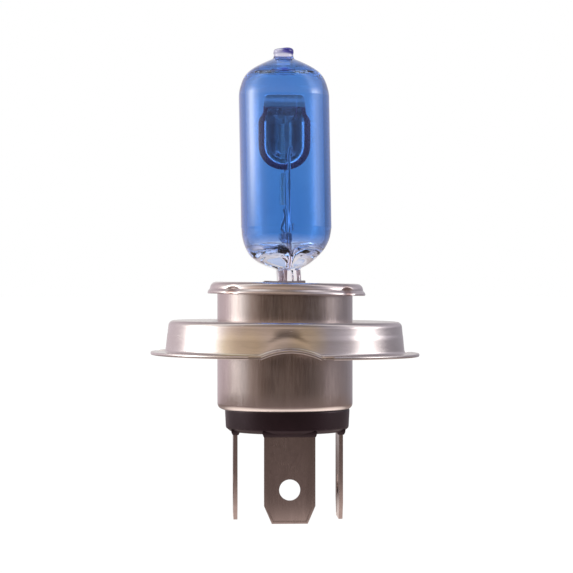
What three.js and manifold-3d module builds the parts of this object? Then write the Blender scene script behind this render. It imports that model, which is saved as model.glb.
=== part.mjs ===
// Two-filament headlamp bulb on a three-lug focusing cap, in millimetres.
// +Z runs along the lamp axis towards the glass tip. The origin is the centre of the reference
// plane, which is the glass-side face of the focusing ring's flange. -Y is the side of the
// reference lug, of the single crosswise blade and of the shield's open face.
import * as THREE from 'three';
import { mergeVertices } from 'three/addons/utils/BufferGeometryUtils.js';
import Module from 'manifold-3d';

const wasm = await Module();
wasm.setup();

// ---- Driving dimensions ---------------------------------------------------------------

// Round parts: sides of a full turn, and steps of a quarter turn in a profile.
const FACETS = 48;
const GLASS_FACETS = 32;
const WIRE_SIDES = 8;
const COIL_WIRE_SIDES = 4;
const COIL_STEPS = 8;
const ARC_STEPS = 4;

// Clearances between neighbours.
const WELD_GAP = 0.3;
const SLIDE_GAP = 0.3;
const BLADE_GAP = 0.1;
const ROD_GAP = 0.2;
const OVERCUT = 1;

// Focusing ring, pressed from sheet: cup, flange, inner collar and bowed lugs.
const RING_SHEET = 0.5;
const FLANGE_DIAMETER = 43;
const CUP_TOP_DIAMETER = 37.4;
const CUP_FOOT_DIAMETER = 38.2;
const CUP_HEIGHT = 5;
const CUP_CORNER = 0.9;
const FLANGE_FILLET = 0.5;
const COLLAR_DEPTH = 3.2;
const LUG_COUNT = 3;
const LUG_WIDTH = 9;
const LUG_BOW = 0.6;
const LUG_NOTCH = 1.9;

// Base shell, a drawn tube with its lower end curled in.
const SHELL_DIAMETER = 21.7;
const SHELL_SHEET = 0.4;
const SHELL_BELOW_PLANE = 9.1;
const SHELL_CURL = 0.8;

// Mounting disc, an inverted shallow cup that carries the glass.
const DISC_ABOVE_PLANE = 11.1;
const DISC_OVERHANG = 1.45;
const DISC_FLARE = 0.35;
const DISC_HEIGHT = 1.9;
const DISC_SHEET = 0.5;
const DISC_CORNER = 1;
const DIMPLE_COUNT = 4;
const DIMPLE_WIDTH = 2.4;
const DIMPLE_HEIGHT = 1.1;

// Glass: tube, thick dome, round foot and flat pinch.
const GLASS_DIAMETER = 14.5;
const GLASS_WALL = 1;
const GLASS_STRAIGHT = 21.1;
const DOME_RISE = 6.1;
const DOME_THICKNESS = 2.2;
const FOOT_DROP = 6.6;
const FOOT_THICKNESS = 2.2;
const NECK_HEIGHT = 2.2;
const PINCH_THICKNESS = 4;
const PINCH_WIDTH = 11;
const PINCH_IN_SHELL = 10.6;
const PINCH_CORNER = 0.8;
const TIP_DIAMETER = 3.3;
const TIP_HEIGHT = 1.8;
const TIP_STEM_DIAMETER = 1;
const TIP_SEAT_DROP = 0.15;

// Clip that grips the pinch and is welded to the disc.
const CLIP_SHEET = 0.4;
const CLIP_DEPTH = 7;
const CLIP_FLANGE = 0.9;

// Foils and wires.
const FOIL_THICKNESS = 0.3;
const FOIL_WIDTH = 2.2;
const FOIL_LENGTH = 7.4;
const FOIL_PITCH = 3.4;
const ROD_DIAMETER = 0.55;
const OUTER_LEAD_DIAMETER = 0.6;
const BRIDGE_THICKNESS = 1.8;
const BRIDGE_WIDTH = 9.6;
const BRIDGE_HEIGHT = 2;
const BRIDGE_ABOVE_FOOT = 1.6;

// Filaments, placed from the reference plane as the optics need.
const DIPPED_START = 30.7;
const DIPPED_LENGTH = 5.7;
const DIPPED_TURNS = 15;
const DIPPED_X = -0.2;
const DIPPED_Y = -0.4;
const MAIN_START = 23.9;
const MAIN_LENGTH = 4.8;
const MAIN_TURNS = 12;
const MAIN_X = -0.3;
const COIL_DIAMETER = 0.8;
const COIL_WIRE = 0.18;
const OVERWIND_LENGTH = 3.6;
const OVERWIND_TURNS = 9;

// Dipped-beam shield, a pressed dish with a hood over its upper end.
const SHIELD_SHEET = 0.35;
const SHIELD_WIDTH = 8.3;
const SHIELD_BOTTOM = 29.1;
const SHIELD_SIDE_START = 33.2;
const SHIELD_SHOULDER = 37.8;
const SHIELD_DEPTH = 3.6;
const SHIELD_FRONT = -1;
const HOOD_WIDTH = 6.65;
const HOOD_HEIGHT = 3.5;
const HOOD_CORNER = 1.2;

// Insulating base and its blades.
const BASE_SET_IN = 0.85;
const BASE_TAPER = 0.15;
const BASE_BELOW_SHELL = 3.45;
const BASE_CHAMFER = 0.6;
const BASE_PLUG_HEIGHT = 3.4;
const BOSS_WALL = 0.35;
const BOSS_HEIGHT = 0.7;
const BLADE_WIDTH = 8;
const BLADE_SHEET = 0.8;
const BLADE_LENGTH = 13.9;
const BLADE_SET_IN = 1.5;
const BLADE_END_WIDTH = 5.6;
const BLADE_CHAMFER_LENGTH = 2.75;
const BLADE_HOLE_DIAMETER = 3.3;
const BLADE_HOLE_FROM_END = 5.25;
const BLADE_SHANK_WIDTH = 5.6;
const BLADE_SHOULDER_DEPTH = 1.4;
const BLADE_ABOVE_PLUG = 2.4;

// ---- Heights and radii that follow -------------------------------------------------------

const shellRadius = SHELL_DIAMETER / 2;
const shellBottom = -SHELL_BELOW_PLANE;
const discTop = DISC_ABOVE_PLANE;
const discUnderside = discTop - DISC_SHEET;
const discRadius = shellRadius + DISC_OVERHANG;

const glassRadius = GLASS_DIAMETER / 2;
const boreRadius = glassRadius - GLASS_WALL;
const footBottom = discTop + NECK_HEIGHT;
const footStart = footBottom + FOOT_DROP;
const domeStart = footStart + GLASS_STRAIGHT;
const domeTop = domeStart + DOME_RISE;
const cavityBottom = footBottom + FOOT_THICKNESS;
const cavityTop = domeTop - DOME_THICKNESS;
const tipSeat = domeTop - TIP_SEAT_DROP;
const pinchBottom = discTop - PINCH_IN_SHELL;

const foilTop = footBottom;
const foilBottom = foilTop - FOIL_LENGTH;
const rodFoot = foilTop + WELD_GAP;
const bridgeBottom = cavityBottom + BRIDGE_ABOVE_FOOT;
const bridgeTop = bridgeBottom + BRIDGE_HEIGHT;

const baseEnd = shellBottom - BASE_BELOW_SHELL;
const lipTop = shellBottom + SHELL_SHEET;
const plugBottom = lipTop + WELD_GAP;
const plugTop = plugBottom + BASE_PLUG_HEIGHT;
const baseTopRadius = shellRadius - BASE_SET_IN;
const baseEndRadius = baseTopRadius - BASE_TAPER;
const bladeOffset = baseEndRadius - BLADE_SET_IN;
const bladeEnd = baseEnd - BLADE_LENGTH;
const bladeTop = plugTop + BLADE_ABOVE_PLUG;
const bladeShoulder = baseEnd + BLADE_SHOULDER_DEPTH;

// ---- Materials ---------------------------------------------------------------------------

const finish = (color, roughness, metalness, extra = {}) =>
  new THREE.MeshStandardMaterial({ color, roughness, metalness, ...extra });

const blueGlass = () => finish(0x3f7fd0, 0.05, 0, { transparent: true, opacity: 0.45 });
const steel = () => finish(0xb9aea6, 0.28, 1);
const bladeSteel = () => finish(0x8f8479, 0.42, 1);
const blackPlastic = () => finish(0x1a1620, 0.55, 0);
const molybdenum = () => finish(0x6a6c74, 0.4, 1);
const tungsten = () => finish(0x4c4c52, 0.45, 1);
const leadWire = () => finish(0xa39c92, 0.35, 1);

// ---- Geometry helpers ----------------------------------------------------------------------

// A closed mesh as a solid, with shared vertices merged and collapsed triangles dropped.
function toSolid(geometry) {
  geometry.deleteAttribute('normal');
  geometry.deleteAttribute('uv');
  const merged = mergeVertices(geometry, 1e-4);
  const corners = merged.index.array;
  const kept = [];
  for (let i = 0; i < corners.length; i += 3) {
    const [a, b, c] = corners.slice(i, i + 3);
    if (a !== b && b !== c && c !== a) kept.push(a, b, c);
  }
  return new wasm.Manifold(new wasm.Mesh({
    numProp: 3,
    vertProperties: new Float32Array(merged.attributes.position.array),
    triVerts: new Uint32Array(kept),
  }));
}

function toGeometry(solid) {
  const mesh = solid.getMesh();
  const geometry = new THREE.BufferGeometry();
  geometry.setAttribute('position', new THREE.BufferAttribute(mesh.vertProperties, 3));
  geometry.setIndex(new THREE.BufferAttribute(mesh.triVerts, 1));
  geometry.computeVertexNormals();
  return geometry;
}

// Points of an elliptical arc in a profile, from one angle to another, in degrees.
function arc(centreR, centreZ, radiusR, radiusZ, from, to, steps = ARC_STEPS) {
  const points = [];
  for (let i = 0; i <= steps; i += 1) {
    const angle = THREE.MathUtils.degToRad(from + ((to - from) * i) / steps);
    points.push([centreR + radiusR * Math.cos(angle), centreZ + radiusZ * Math.sin(angle)]);
  }
  return points;
}

// A turned solid about +Z from [radius, height] points that run counterclockwise.
function turned(points, facets = FACETS) {
  const profile = points.map(([r, z]) => new THREE.Vector2(Math.max(r, 0), z));
  return toSolid(new THREE.LatheGeometry(profile, facets).rotateX(Math.PI / 2));
}

// A turned ring, whose profile closes on itself.
const turnedRing = (points, facets = FACETS) => turned([...points, points[0]], facets);

function block(low, high) {
  const size = high.map((value, axis) => value - low[axis]);
  const centre = high.map((value, axis) => (value + low[axis]) / 2);
  return toSolid(new THREE.BoxGeometry(...size).translate(...centre));
}

const spun = (solid, degrees) => solid.rotate([0, 0, degrees]);

// A flat outline extruded along +Z by its depth.
function plate(outline, depth) {
  return new THREE.ExtrudeGeometry(outline, { depth, bevelEnabled: false, curveSegments: 10 });
}

// An upright outline in X and Z, extruded along +Y from a given face.
function uprightPlate(outline, faceY, depth) {
  return toSolid(plate(outline, depth).rotateX(Math.PI / 2).translate(0, faceY + depth, 0));
}

function roundedRectangle(width, height, corner) {
  const x = width / 2;
  const y = height / 2;
  const shape = new THREE.Shape();
  shape.moveTo(-x + corner, -y);
  shape.lineTo(x - corner, -y);
  shape.absarc(x - corner, -y + corner, corner, -Math.PI / 2, 0);
  shape.absarc(x - corner, y - corner, corner, 0, Math.PI / 2);
  shape.absarc(-x + corner, y - corner, corner, Math.PI / 2, Math.PI);
  shape.absarc(-x + corner, -y + corner, corner, Math.PI, 1.5 * Math.PI);
  return shape;
}

function regularOutline(diameter, sides) {
  const shape = new THREE.Shape();
  for (let i = 0; i < sides; i += 1) {
    const angle = (2 * Math.PI * (i + 0.5)) / sides;
    const x = (diameter / 2) * Math.cos(angle);
    const y = (diameter / 2) * Math.sin(angle);
    if (i === 0) shape.moveTo(x, y);
    else shape.lineTo(x, y);
  }
  shape.closePath();
  return shape;
}

// A round wire along a smooth curve through its points.
function wire(points, diameter, steps, sides = WIRE_SIDES) {
  const path = new THREE.CatmullRomCurve3(points.map((p) => new THREE.Vector3(...p)), false, 'centripetal');
  return toSolid(new THREE.ExtrudeGeometry(regularOutline(diameter, sides), { steps, extrudePath: path }));
}

// Points of a wire coil about a vertical axis, with a straight leg at each end.
function coilPoints({ x, y, start, length, turns, diameter, legDown, legUp }) {
  const points = [[legDown[0], legDown[1], legDown[2]]];
  const count = turns * COIL_STEPS;
  for (let i = 0; i <= count; i += 1) {
    const angle = (2 * Math.PI * i) / COIL_STEPS;
    const height = start + (length * i) / count;
    points.push([x + (diameter / 2) * Math.cos(angle), y + (diameter / 2) * Math.sin(angle), height]);
  }
  points.push([legUp[0], legUp[1], legUp[2]]);
  return points;
}

const coil = (options) => {
  const points = coilPoints(options);
  return wire(points, COIL_WIRE, points.length - 1, COIL_WIRE_SIDES);
};

// ---- Glass ---------------------------------------------------------------------------------

const FOIL_PLACES = [-FOIL_PITCH, 0, FOIL_PITCH];

// The space inside the pinch for one foil with the ends of its two wires.
function foilChannel(y) {
  const foilRoomX = FOIL_THICKNESS / 2 + WELD_GAP;
  const foilRoomY = FOIL_WIDTH / 2 + ROD_GAP;
  const rodRoom = ROD_DIAMETER / 2 + ROD_GAP;
  const leadRoom = OUTER_LEAD_DIAMETER / 2 + ROD_GAP;
  const foilRoom = block(
    [-foilRoomX, y - foilRoomY, foilBottom - WELD_GAP],
    [foilRoomX, y + foilRoomY, foilTop + WELD_GAP],
  );
  const rodHole = block([-rodRoom, y - rodRoom, foilTop], [rodRoom, y + rodRoom, cavityBottom + OVERCUT]);
  const leadHole = block([-leadRoom, y - leadRoom, pinchBottom - OVERCUT], [leadRoom, y + leadRoom, foilBottom]);
  return foilRoom.add(rodHole).add(leadHole);
}

function glassBulb() {
  const outside = [
    ...arc(0, footStart, glassRadius, FOOT_DROP, -90, 0, 7),
    ...arc(0, domeStart, glassRadius, DOME_RISE, 0, 90, 8),
  ];
  const inside = [
    ...arc(0, footStart, boreRadius, footStart - cavityBottom, -90, 0, 5),
    ...arc(0, domeStart, boreRadius, cavityTop - domeStart, 0, 90, 6),
  ];
  const pinch = toSolid(
    plate(roundedRectangle(PINCH_THICKNESS, PINCH_WIDTH, PINCH_CORNER), footBottom + FOOT_THICKNESS - pinchBottom)
      .translate(0, 0, pinchBottom),
  );
  const exhaustHole = turned([
    [0, cavityTop - OVERCUT],
    [TIP_STEM_DIAMETER / 2 + SLIDE_GAP, cavityTop - OVERCUT],
    [TIP_STEM_DIAMETER / 2 + SLIDE_GAP, domeTop + OVERCUT],
    [0, domeTop + OVERCUT],
  ], 12);
  const seatCut = block([-glassRadius, -glassRadius, tipSeat], [glassRadius, glassRadius, domeTop + OVERCUT]);
  let glass = turned(outside, GLASS_FACETS).add(pinch);
  glass = glass.subtract(turned(inside, GLASS_FACETS)).subtract(exhaustHole).subtract(seatCut);
  for (const y of FOIL_PLACES) glass = glass.subtract(foilChannel(y));
  return glass;
}

// The sealed-off end of the exhaust tube, with its stem down the hole in the dome.
function exhaustTip() {
  const radius = TIP_DIAMETER / 2;
  const stem = TIP_STEM_DIAMETER / 2;
  const shoulder = TIP_HEIGHT * 0.5;
  return turned([
    [0, cavityTop + WELD_GAP],
    [stem, cavityTop + WELD_GAP],
    [stem, tipSeat],
    [radius, tipSeat],
    [radius * 0.95, tipSeat + shoulder],
    ...arc(0, tipSeat + shoulder, radius * 0.95, TIP_HEIGHT - shoulder, 30, 90, 3),
  ], 16);
}

// ---- Filaments, shield and inner wires -------------------------------------------------------

// Front outline of the shield: a dish with a round lower end and a narrower hood above.
function shieldOutline(inset) {
  const side = SHIELD_WIDTH / 2 - inset;
  const hood = HOOD_WIDTH / 2 - inset;
  const bowl = SHIELD_SIDE_START - SHIELD_BOTTOM - inset;
  const top = SHIELD_SHOULDER + HOOD_HEIGHT - inset;
  const corner = HOOD_CORNER - inset;
  const shape = new THREE.Shape();
  shape.moveTo(side, SHIELD_SIDE_START);
  shape.absellipse(0, SHIELD_SIDE_START, side, bowl, 0, Math.PI, true, 0);
  shape.lineTo(-side, SHIELD_SHOULDER - inset);
  shape.lineTo(-hood, SHIELD_SHOULDER);
  shape.absarc(-hood + corner, top - corner, corner, Math.PI, Math.PI / 2, true);
  shape.absarc(hood - corner, top - corner, corner, Math.PI / 2, 0, true);
  shape.lineTo(hood, SHIELD_SHOULDER);
  shape.lineTo(side, SHIELD_SHOULDER - inset);
  return shape;
}

function dippedBeamShield() {
  const dish = uprightPlate(shieldOutline(0), SHIELD_FRONT, SHIELD_DEPTH);
  const hollow = uprightPlate(shieldOutline(SHIELD_SHEET), SHIELD_FRONT - OVERCUT, SHIELD_DEPTH + OVERCUT - SHIELD_SHEET);
  const hoodFace = block(
    [-HOOD_WIDTH / 2 + SHIELD_SHEET, SHIELD_FRONT, SHIELD_SHOULDER],
    [HOOD_WIDTH / 2 - SHIELD_SHEET, SHIELD_FRONT + SHIELD_SHEET, SHIELD_SHOULDER + HOOD_HEIGHT - SHIELD_SHEET],
  );
  const hoodFill = uprightPlate(shieldOutline(SHIELD_SHEET / 2), SHIELD_FRONT, SHIELD_SHEET);
  return dish.subtract(hollow).add(hoodFace.intersect(hoodFill));
}

const coilRadius = COIL_DIAMETER / 2;
const dippedEnd = DIPPED_START + DIPPED_LENGTH;
const mainEnd = MAIN_START + MAIN_LENGTH;
const dippedRodX = DIPPED_X + coilRadius + COIL_WIRE + ROD_DIAMETER;
const dippedRodY = SHIELD_FRONT - ROD_DIAMETER;
const dippedRodTop = DIPPED_START + 2;
const supportRodY = SHIELD_FRONT + SHIELD_DEPTH + WELD_GAP + ROD_DIAMETER / 2;

const dippedFilament = () => coil({
  x: DIPPED_X,
  y: DIPPED_Y,
  start: DIPPED_START,
  length: DIPPED_LENGTH,
  turns: DIPPED_TURNS,
  diameter: COIL_DIAMETER,
  legDown: [DIPPED_X + coilRadius, DIPPED_Y, DIPPED_START - 2 * COIL_WIRE],
  legUp: [DIPPED_X + coilRadius, DIPPED_Y, SHIELD_SHOULDER],
});

const mainFilament = () => coil({
  x: MAIN_X,
  y: 0,
  start: MAIN_START,
  length: MAIN_LENGTH,
  turns: MAIN_TURNS,
  diameter: COIL_DIAMETER,
  legDown: [MAIN_X + coilRadius, 0, MAIN_START - 4 * COIL_WIRE],
  legUp: [MAIN_X + coilRadius, 0, Math.min(mainEnd + 2 * COIL_WIRE, SHIELD_BOTTOM - COIL_WIRE)],
});

// Fine wire wound about the upper stretch of the dipped filament's lead.
const leadOverwind = () => coil({
  x: dippedRodX,
  y: dippedRodY,
  start: dippedRodTop + WELD_GAP,
  length: OVERWIND_LENGTH,
  turns: OVERWIND_TURNS,
  diameter: ROD_DIAMETER,
  legDown: [dippedRodX + ROD_DIAMETER / 2, dippedRodY, dippedRodTop + WELD_GAP - COIL_WIRE],
  legUp: [dippedRodX + ROD_DIAMETER / 2, dippedRodY, dippedRodTop + WELD_GAP + OVERWIND_LENGTH + COIL_WIRE],
});

const dippedLeadRod = () => wire([
  [0, -FOIL_PITCH, rodFoot],
  [0, -FOIL_PITCH, bridgeTop + WELD_GAP],
  [dippedRodX / 2, (dippedRodY - FOIL_PITCH) / 2, bridgeTop + 1.6],
  [dippedRodX, dippedRodY, bridgeTop + 3],
  [dippedRodX, dippedRodY, dippedRodTop],
], ROD_DIAMETER, 18);

const mainLeadRod = () => wire([
  [0, 0, rodFoot],
  [0, 0, bridgeTop + WELD_GAP],
  [MAIN_X / 2, 0, (bridgeTop + MAIN_START) / 2],
  [MAIN_X, 0, MAIN_START - 4 * COIL_WIRE - WELD_GAP],
], ROD_DIAMETER, 10);

const supportRod = () => wire([
  [0, FOIL_PITCH, rodFoot],
  [0, FOIL_PITCH, bridgeTop + WELD_GAP],
  [0, supportRodY, bridgeTop + 2.5],
  [0, supportRodY, SHIELD_SHOULDER - 1],
], ROD_DIAMETER, 14);

function wireBridge() {
  let bridge = toSolid(
    plate(roundedRectangle(BRIDGE_THICKNESS, BRIDGE_WIDTH, BRIDGE_THICKNESS / 3), BRIDGE_HEIGHT)
      .translate(0, 0, bridgeBottom),
  );
  const hole = ROD_DIAMETER + 2 * ROD_GAP;
  for (const y of FOIL_PLACES) {
    const cut = plate(regularOutline(hole, WIRE_SIDES), BRIDGE_HEIGHT + 2 * OVERCUT);
    bridge = bridge.subtract(toSolid(cut.translate(0, y, bridgeBottom - OVERCUT)));
  }
  return bridge;
}

const sealingFoil = (y) => block(
  [-FOIL_THICKNESS / 2, y - FOIL_WIDTH / 2, foilBottom],
  [FOIL_THICKNESS / 2, y + FOIL_WIDTH / 2, foilTop],
);

// A lead from below its foil to beside the inner face of its blade.
function outerLead(y, bladeX, bladeY) {
  const inner = bladeOffset - BLADE_SHEET / 2 - WELD_GAP - OUTER_LEAD_DIAMETER / 2;
  const endX = Math.sign(bladeX) * inner;
  const endY = Math.sign(bladeY) * inner;
  return wire([
    [0, y, foilBottom - WELD_GAP],
    [0, y, pinchBottom + WELD_GAP],
    [0, y, pinchBottom - OUTER_LEAD_DIAMETER],
    [endX, endY, bladeTop],
    [endX, endY, plugTop + WELD_GAP],
  ], OUTER_LEAD_DIAMETER, 16);
}

// ---- Metal cap -----------------------------------------------------------------------------

const clipInnerX = PINCH_THICKNESS / 2 + SLIDE_GAP;
const clipInnerY = PINCH_WIDTH / 2 + SLIDE_GAP;
const clipOuterX = clipInnerX + CLIP_SHEET;
const clipOuterY = clipInnerY + CLIP_SHEET;

function pinchClip() {
  const sleeve = block([-clipOuterX, -clipOuterY, discTop - CLIP_DEPTH], [clipOuterX, clipOuterY, discTop + CLIP_SHEET]);
  const flange = block(
    [-clipOuterX - CLIP_FLANGE, -clipOuterY - CLIP_FLANGE, discTop],
    [clipOuterX + CLIP_FLANGE, clipOuterY + CLIP_FLANGE, discTop + CLIP_SHEET],
  );
  const room = block(
    [-clipInnerX, -clipInnerY, discTop - CLIP_DEPTH - OVERCUT],
    [clipInnerX, clipInnerY, discTop + CLIP_SHEET + OVERCUT],
  );
  return sleeve.add(flange).subtract(room);
}

function mountingDisc() {
  const top = discRadius;
  const rim = discRadius + DISC_FLARE;
  const innerCorner = DISC_CORNER - DISC_SHEET;
  const rimBottom = discTop - DISC_HEIGHT;
  let disc = turned([
    [0, discUnderside],
    ...arc(top - DISC_CORNER, discTop - DISC_CORNER, innerCorner, innerCorner, 90, 0, 3),
    [rim - DISC_SHEET, rimBottom],
    [rim, rimBottom],
    ...arc(top - DISC_CORNER, discTop - DISC_CORNER, DISC_CORNER, DISC_CORNER, 0, 90),
    [0, discTop],
  ]);
  const slot = block(
    [-clipOuterX - SLIDE_GAP, -clipOuterY - SLIDE_GAP, discUnderside - OVERCUT],
    [clipOuterX + SLIDE_GAP, clipOuterY + SLIDE_GAP, discTop + OVERCUT],
  );
  disc = disc.subtract(slot);
  for (let i = 0; i < DIMPLE_COUNT; i += 1) {
    const dimple = block(
      [-DIMPLE_WIDTH / 2, -top + DISC_SHEET / 2, rimBottom],
      [DIMPLE_WIDTH / 2, -shellRadius - WELD_GAP, rimBottom + DIMPLE_HEIGHT],
    );
    disc = disc.add(spun(dimple, (360 * (i + 0.5)) / DIMPLE_COUNT));
  }
  return disc;
}

function baseShell() {
  const inside = shellRadius - SHELL_SHEET;
  const lip = shellRadius - SHELL_CURL;
  const innerCurl = SHELL_CURL - SHELL_SHEET;
  return turnedRing([
    ...arc(lip, shellBottom + SHELL_CURL, SHELL_CURL, SHELL_CURL, -90, 0),
    [shellRadius, discUnderside],
    [inside, discUnderside],
    ...arc(lip, shellBottom + SHELL_CURL, innerCurl, innerCurl, 0, -90, 3),
  ]);
}

// One lug: a strip of the flange bowed towards the glass, trimmed to the flange's own band.
function bowedLug() {
  const half = LUG_WIDTH / 2;
  const radius = (half * half + LUG_BOW * LUG_BOW) / (2 * LUG_BOW);
  const sweep = Math.asin(half / radius);
  const shape = new THREE.Shape();
  shape.absarc(0, 0, radius, Math.PI / 2 - sweep, Math.PI / 2 + sweep, false);
  shape.absarc(0, -RING_SHEET, radius, Math.PI / 2 + sweep, Math.PI / 2 - sweep, true);
  shape.closePath();
  const strip = plate(shape, FLANGE_DIAMETER / 2).rotateX(Math.PI / 2).translate(0, 0, LUG_BOW - radius);
  const band = turnedRing([
    [CUP_FOOT_DIAMETER / 2 - RING_SHEET / 2, -OVERCUT],
    [FLANGE_DIAMETER / 2, -OVERCUT],
    [FLANGE_DIAMETER / 2, OVERCUT],
    [CUP_FOOT_DIAMETER / 2 - RING_SHEET / 2, OVERCUT],
  ]);
  return toSolid(strip).intersect(band);
}

function focusingRing() {
  const collarInner = shellRadius + SLIDE_GAP;
  const collarOuter = collarInner + RING_SHEET;
  const cupTop = CUP_TOP_DIAMETER / 2;
  const cupFoot = CUP_FOOT_DIAMETER / 2;
  const innerCorner = CUP_CORNER - RING_SHEET;
  const flange = FLANGE_DIAMETER / 2;
  let ring = turnedRing([
    [collarInner, CUP_HEIGHT - COLLAR_DEPTH],
    [collarOuter, CUP_HEIGHT - COLLAR_DEPTH],
    [collarOuter, CUP_HEIGHT - RING_SHEET],
    ...arc(cupTop - CUP_CORNER, CUP_HEIGHT - CUP_CORNER, innerCorner, innerCorner, 90, 0, 3),
    ...arc(
      cupFoot + FLANGE_FILLET,
      FLANGE_FILLET,
      FLANGE_FILLET + RING_SHEET,
      FLANGE_FILLET + RING_SHEET,
      180,
      270,
      3,
    ),
    [flange, -RING_SHEET],
    [flange, 0],
    ...arc(cupFoot + FLANGE_FILLET, FLANGE_FILLET, FLANGE_FILLET, FLANGE_FILLET, 270, 180, 3),
    ...arc(cupTop - CUP_CORNER, CUP_HEIGHT - CUP_CORNER, CUP_CORNER, CUP_CORNER, 0, 90),
    [collarInner, CUP_HEIGHT],
  ]);
  const lug = bowedLug();
  const notch = LUG_WIDTH / 2 + LUG_NOTCH;
  const flangeCut = block([-notch, -flange - OVERCUT, -OVERCUT], [notch, 0, FLANGE_FILLET]);
  const keep = turned([
    [0, -2 * OVERCUT],
    [cupFoot, -2 * OVERCUT],
    [cupFoot, 2 * OVERCUT],
    [0, 2 * OVERCUT],
  ]);
  const cutter = flangeCut.subtract(keep);
  for (let i = 0; i < LUG_COUNT; i += 1) {
    const turn = (360 * i) / LUG_COUNT;
    ring = ring.subtract(spun(cutter, turn)).add(spun(lug, turn));
  }
  return ring;
}

// ---- Insulating base and blades --------------------------------------------------------------

// Blades: the crosswise one on the reference side, and one on each side of the axis.
const BLADES = [
  { name: 'dipped', turn: 0, foil: -FOIL_PITCH, x: 0, y: -1 },
  { name: 'main', turn: -90, foil: 0, x: -1, y: 0 },
  { name: 'common', turn: 90, foil: FOIL_PITCH, x: 1, y: 0 },
];

function baseInsulator() {
  const top = baseTopRadius;
  const end = baseEndRadius;
  const neck = shellRadius - SHELL_CURL - SLIDE_GAP;
  const plug = shellRadius - SHELL_SHEET - SLIDE_GAP;
  let base = turned([
    [0, baseEnd],
    [end - BASE_CHAMFER, baseEnd],
    [end, baseEnd + BASE_CHAMFER],
    [top, shellBottom],
    [neck, shellBottom],
    [neck, plugBottom],
    [plug - SHELL_CURL, plugBottom],
    [plug, plugBottom + SHELL_CURL],
    [plug, plugTop],
    [0, plugTop],
  ]);
  const roomX = BLADE_WIDTH / 2 + BLADE_GAP;
  const roomY = BLADE_SHEET / 2 + BLADE_GAP;
  const shankRoom = BLADE_SHANK_WIDTH / 2 + BLADE_GAP;
  const bossTrim = turned([
    [0, baseEnd - BOSS_HEIGHT],
    [end, baseEnd - BOSS_HEIGHT],
    [end, baseEnd + BASE_CHAMFER],
    [0, baseEnd + BASE_CHAMFER],
  ]);
  const boss = block(
    [-roomX - BOSS_WALL, -bladeOffset - roomY - BOSS_WALL, baseEnd - BOSS_HEIGHT],
    [roomX + BOSS_WALL, -bladeOffset + roomY + BOSS_WALL, baseEnd + BASE_CHAMFER],
  ).intersect(bossTrim);
  const bladeSlot = block(
    [-roomX, -bladeOffset - roomY, baseEnd - BOSS_HEIGHT - OVERCUT],
    [roomX, -bladeOffset + roomY, bladeShoulder + BLADE_GAP],
  );
  const shankSlot = block(
    [-shankRoom, -bladeOffset - roomY, baseEnd],
    [shankRoom, -bladeOffset + roomY, plugTop + OVERCUT],
  );
  const slot = bladeSlot.add(shankSlot);
  for (const { turn } of BLADES) base = base.add(spun(boss, turn));
  for (const { turn } of BLADES) base = base.subtract(spun(slot, turn));
  return base;
}

function blade(turn) {
  const half = BLADE_WIDTH / 2;
  const end = BLADE_END_WIDTH / 2;
  const shank = BLADE_SHANK_WIDTH / 2;
  const outline = new THREE.Shape();
  outline.moveTo(end, bladeEnd);
  outline.lineTo(half, bladeEnd + BLADE_CHAMFER_LENGTH);
  outline.lineTo(half, bladeShoulder);
  outline.lineTo(shank, bladeShoulder);
  outline.lineTo(shank, bladeTop);
  outline.lineTo(-shank, bladeTop);
  outline.lineTo(-shank, bladeShoulder);
  outline.lineTo(-half, bladeShoulder);
  outline.lineTo(-half, bladeEnd + BLADE_CHAMFER_LENGTH);
  outline.lineTo(-end, bladeEnd);
  const hole = new THREE.Path();
  hole.absarc(0, bladeEnd + BLADE_HOLE_FROM_END, BLADE_HOLE_DIAMETER / 2, 0, 2 * Math.PI, true);
  outline.holes.push(hole);
  return spun(uprightPlate(outline, -bladeOffset - BLADE_SHEET / 2, BLADE_SHEET), turn);
}

// ---- Assembly --------------------------------------------------------------------------------

const group = new THREE.Group();

function addPiece(name, solid, material) {
  const mesh = new THREE.Mesh(toGeometry(solid), material);
  mesh.name = name;
  group.add(mesh);
}

addPiece('glass_bulb', glassBulb(), blueGlass());
addPiece('exhaust_tip', exhaustTip(), blueGlass());
addPiece('dipped_beam_shield', dippedBeamShield(), molybdenum());
addPiece('dipped_filament', dippedFilament(), tungsten());
addPiece('main_filament', mainFilament(), tungsten());
addPiece('lead_overwind', leadOverwind(), tungsten());
addPiece('dipped_lead_rod', dippedLeadRod(), leadWire());
addPiece('main_lead_rod', mainLeadRod(), leadWire());
addPiece('shield_support_rod', supportRod(), leadWire());
addPiece('wire_bridge', wireBridge(), blueGlass());
addPiece('pinch_clip', pinchClip(), steel());
addPiece('mounting_disc', mountingDisc(), steel());
addPiece('base_shell', baseShell(), steel());
addPiece('focusing_ring', focusingRing(), steel());
addPiece('base_insulator', baseInsulator(), blackPlastic());
for (const { name, turn, foil, x, y } of BLADES) {
  addPiece(`${name}_foil`, sealingFoil(foil), molybdenum());
  addPiece(`${name}_outer_lead`, outerLead(foil, x, y), leadWire());
  addPiece(`${name}_terminal`, blade(turn), bladeSteel());
}

export default group;
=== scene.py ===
"""Two-filament headlamp bulb: blue-coated glass on a pressed steel cap with three blades."""
import math

import bmesh
import bpy
from mathutils import Matrix, Vector


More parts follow.
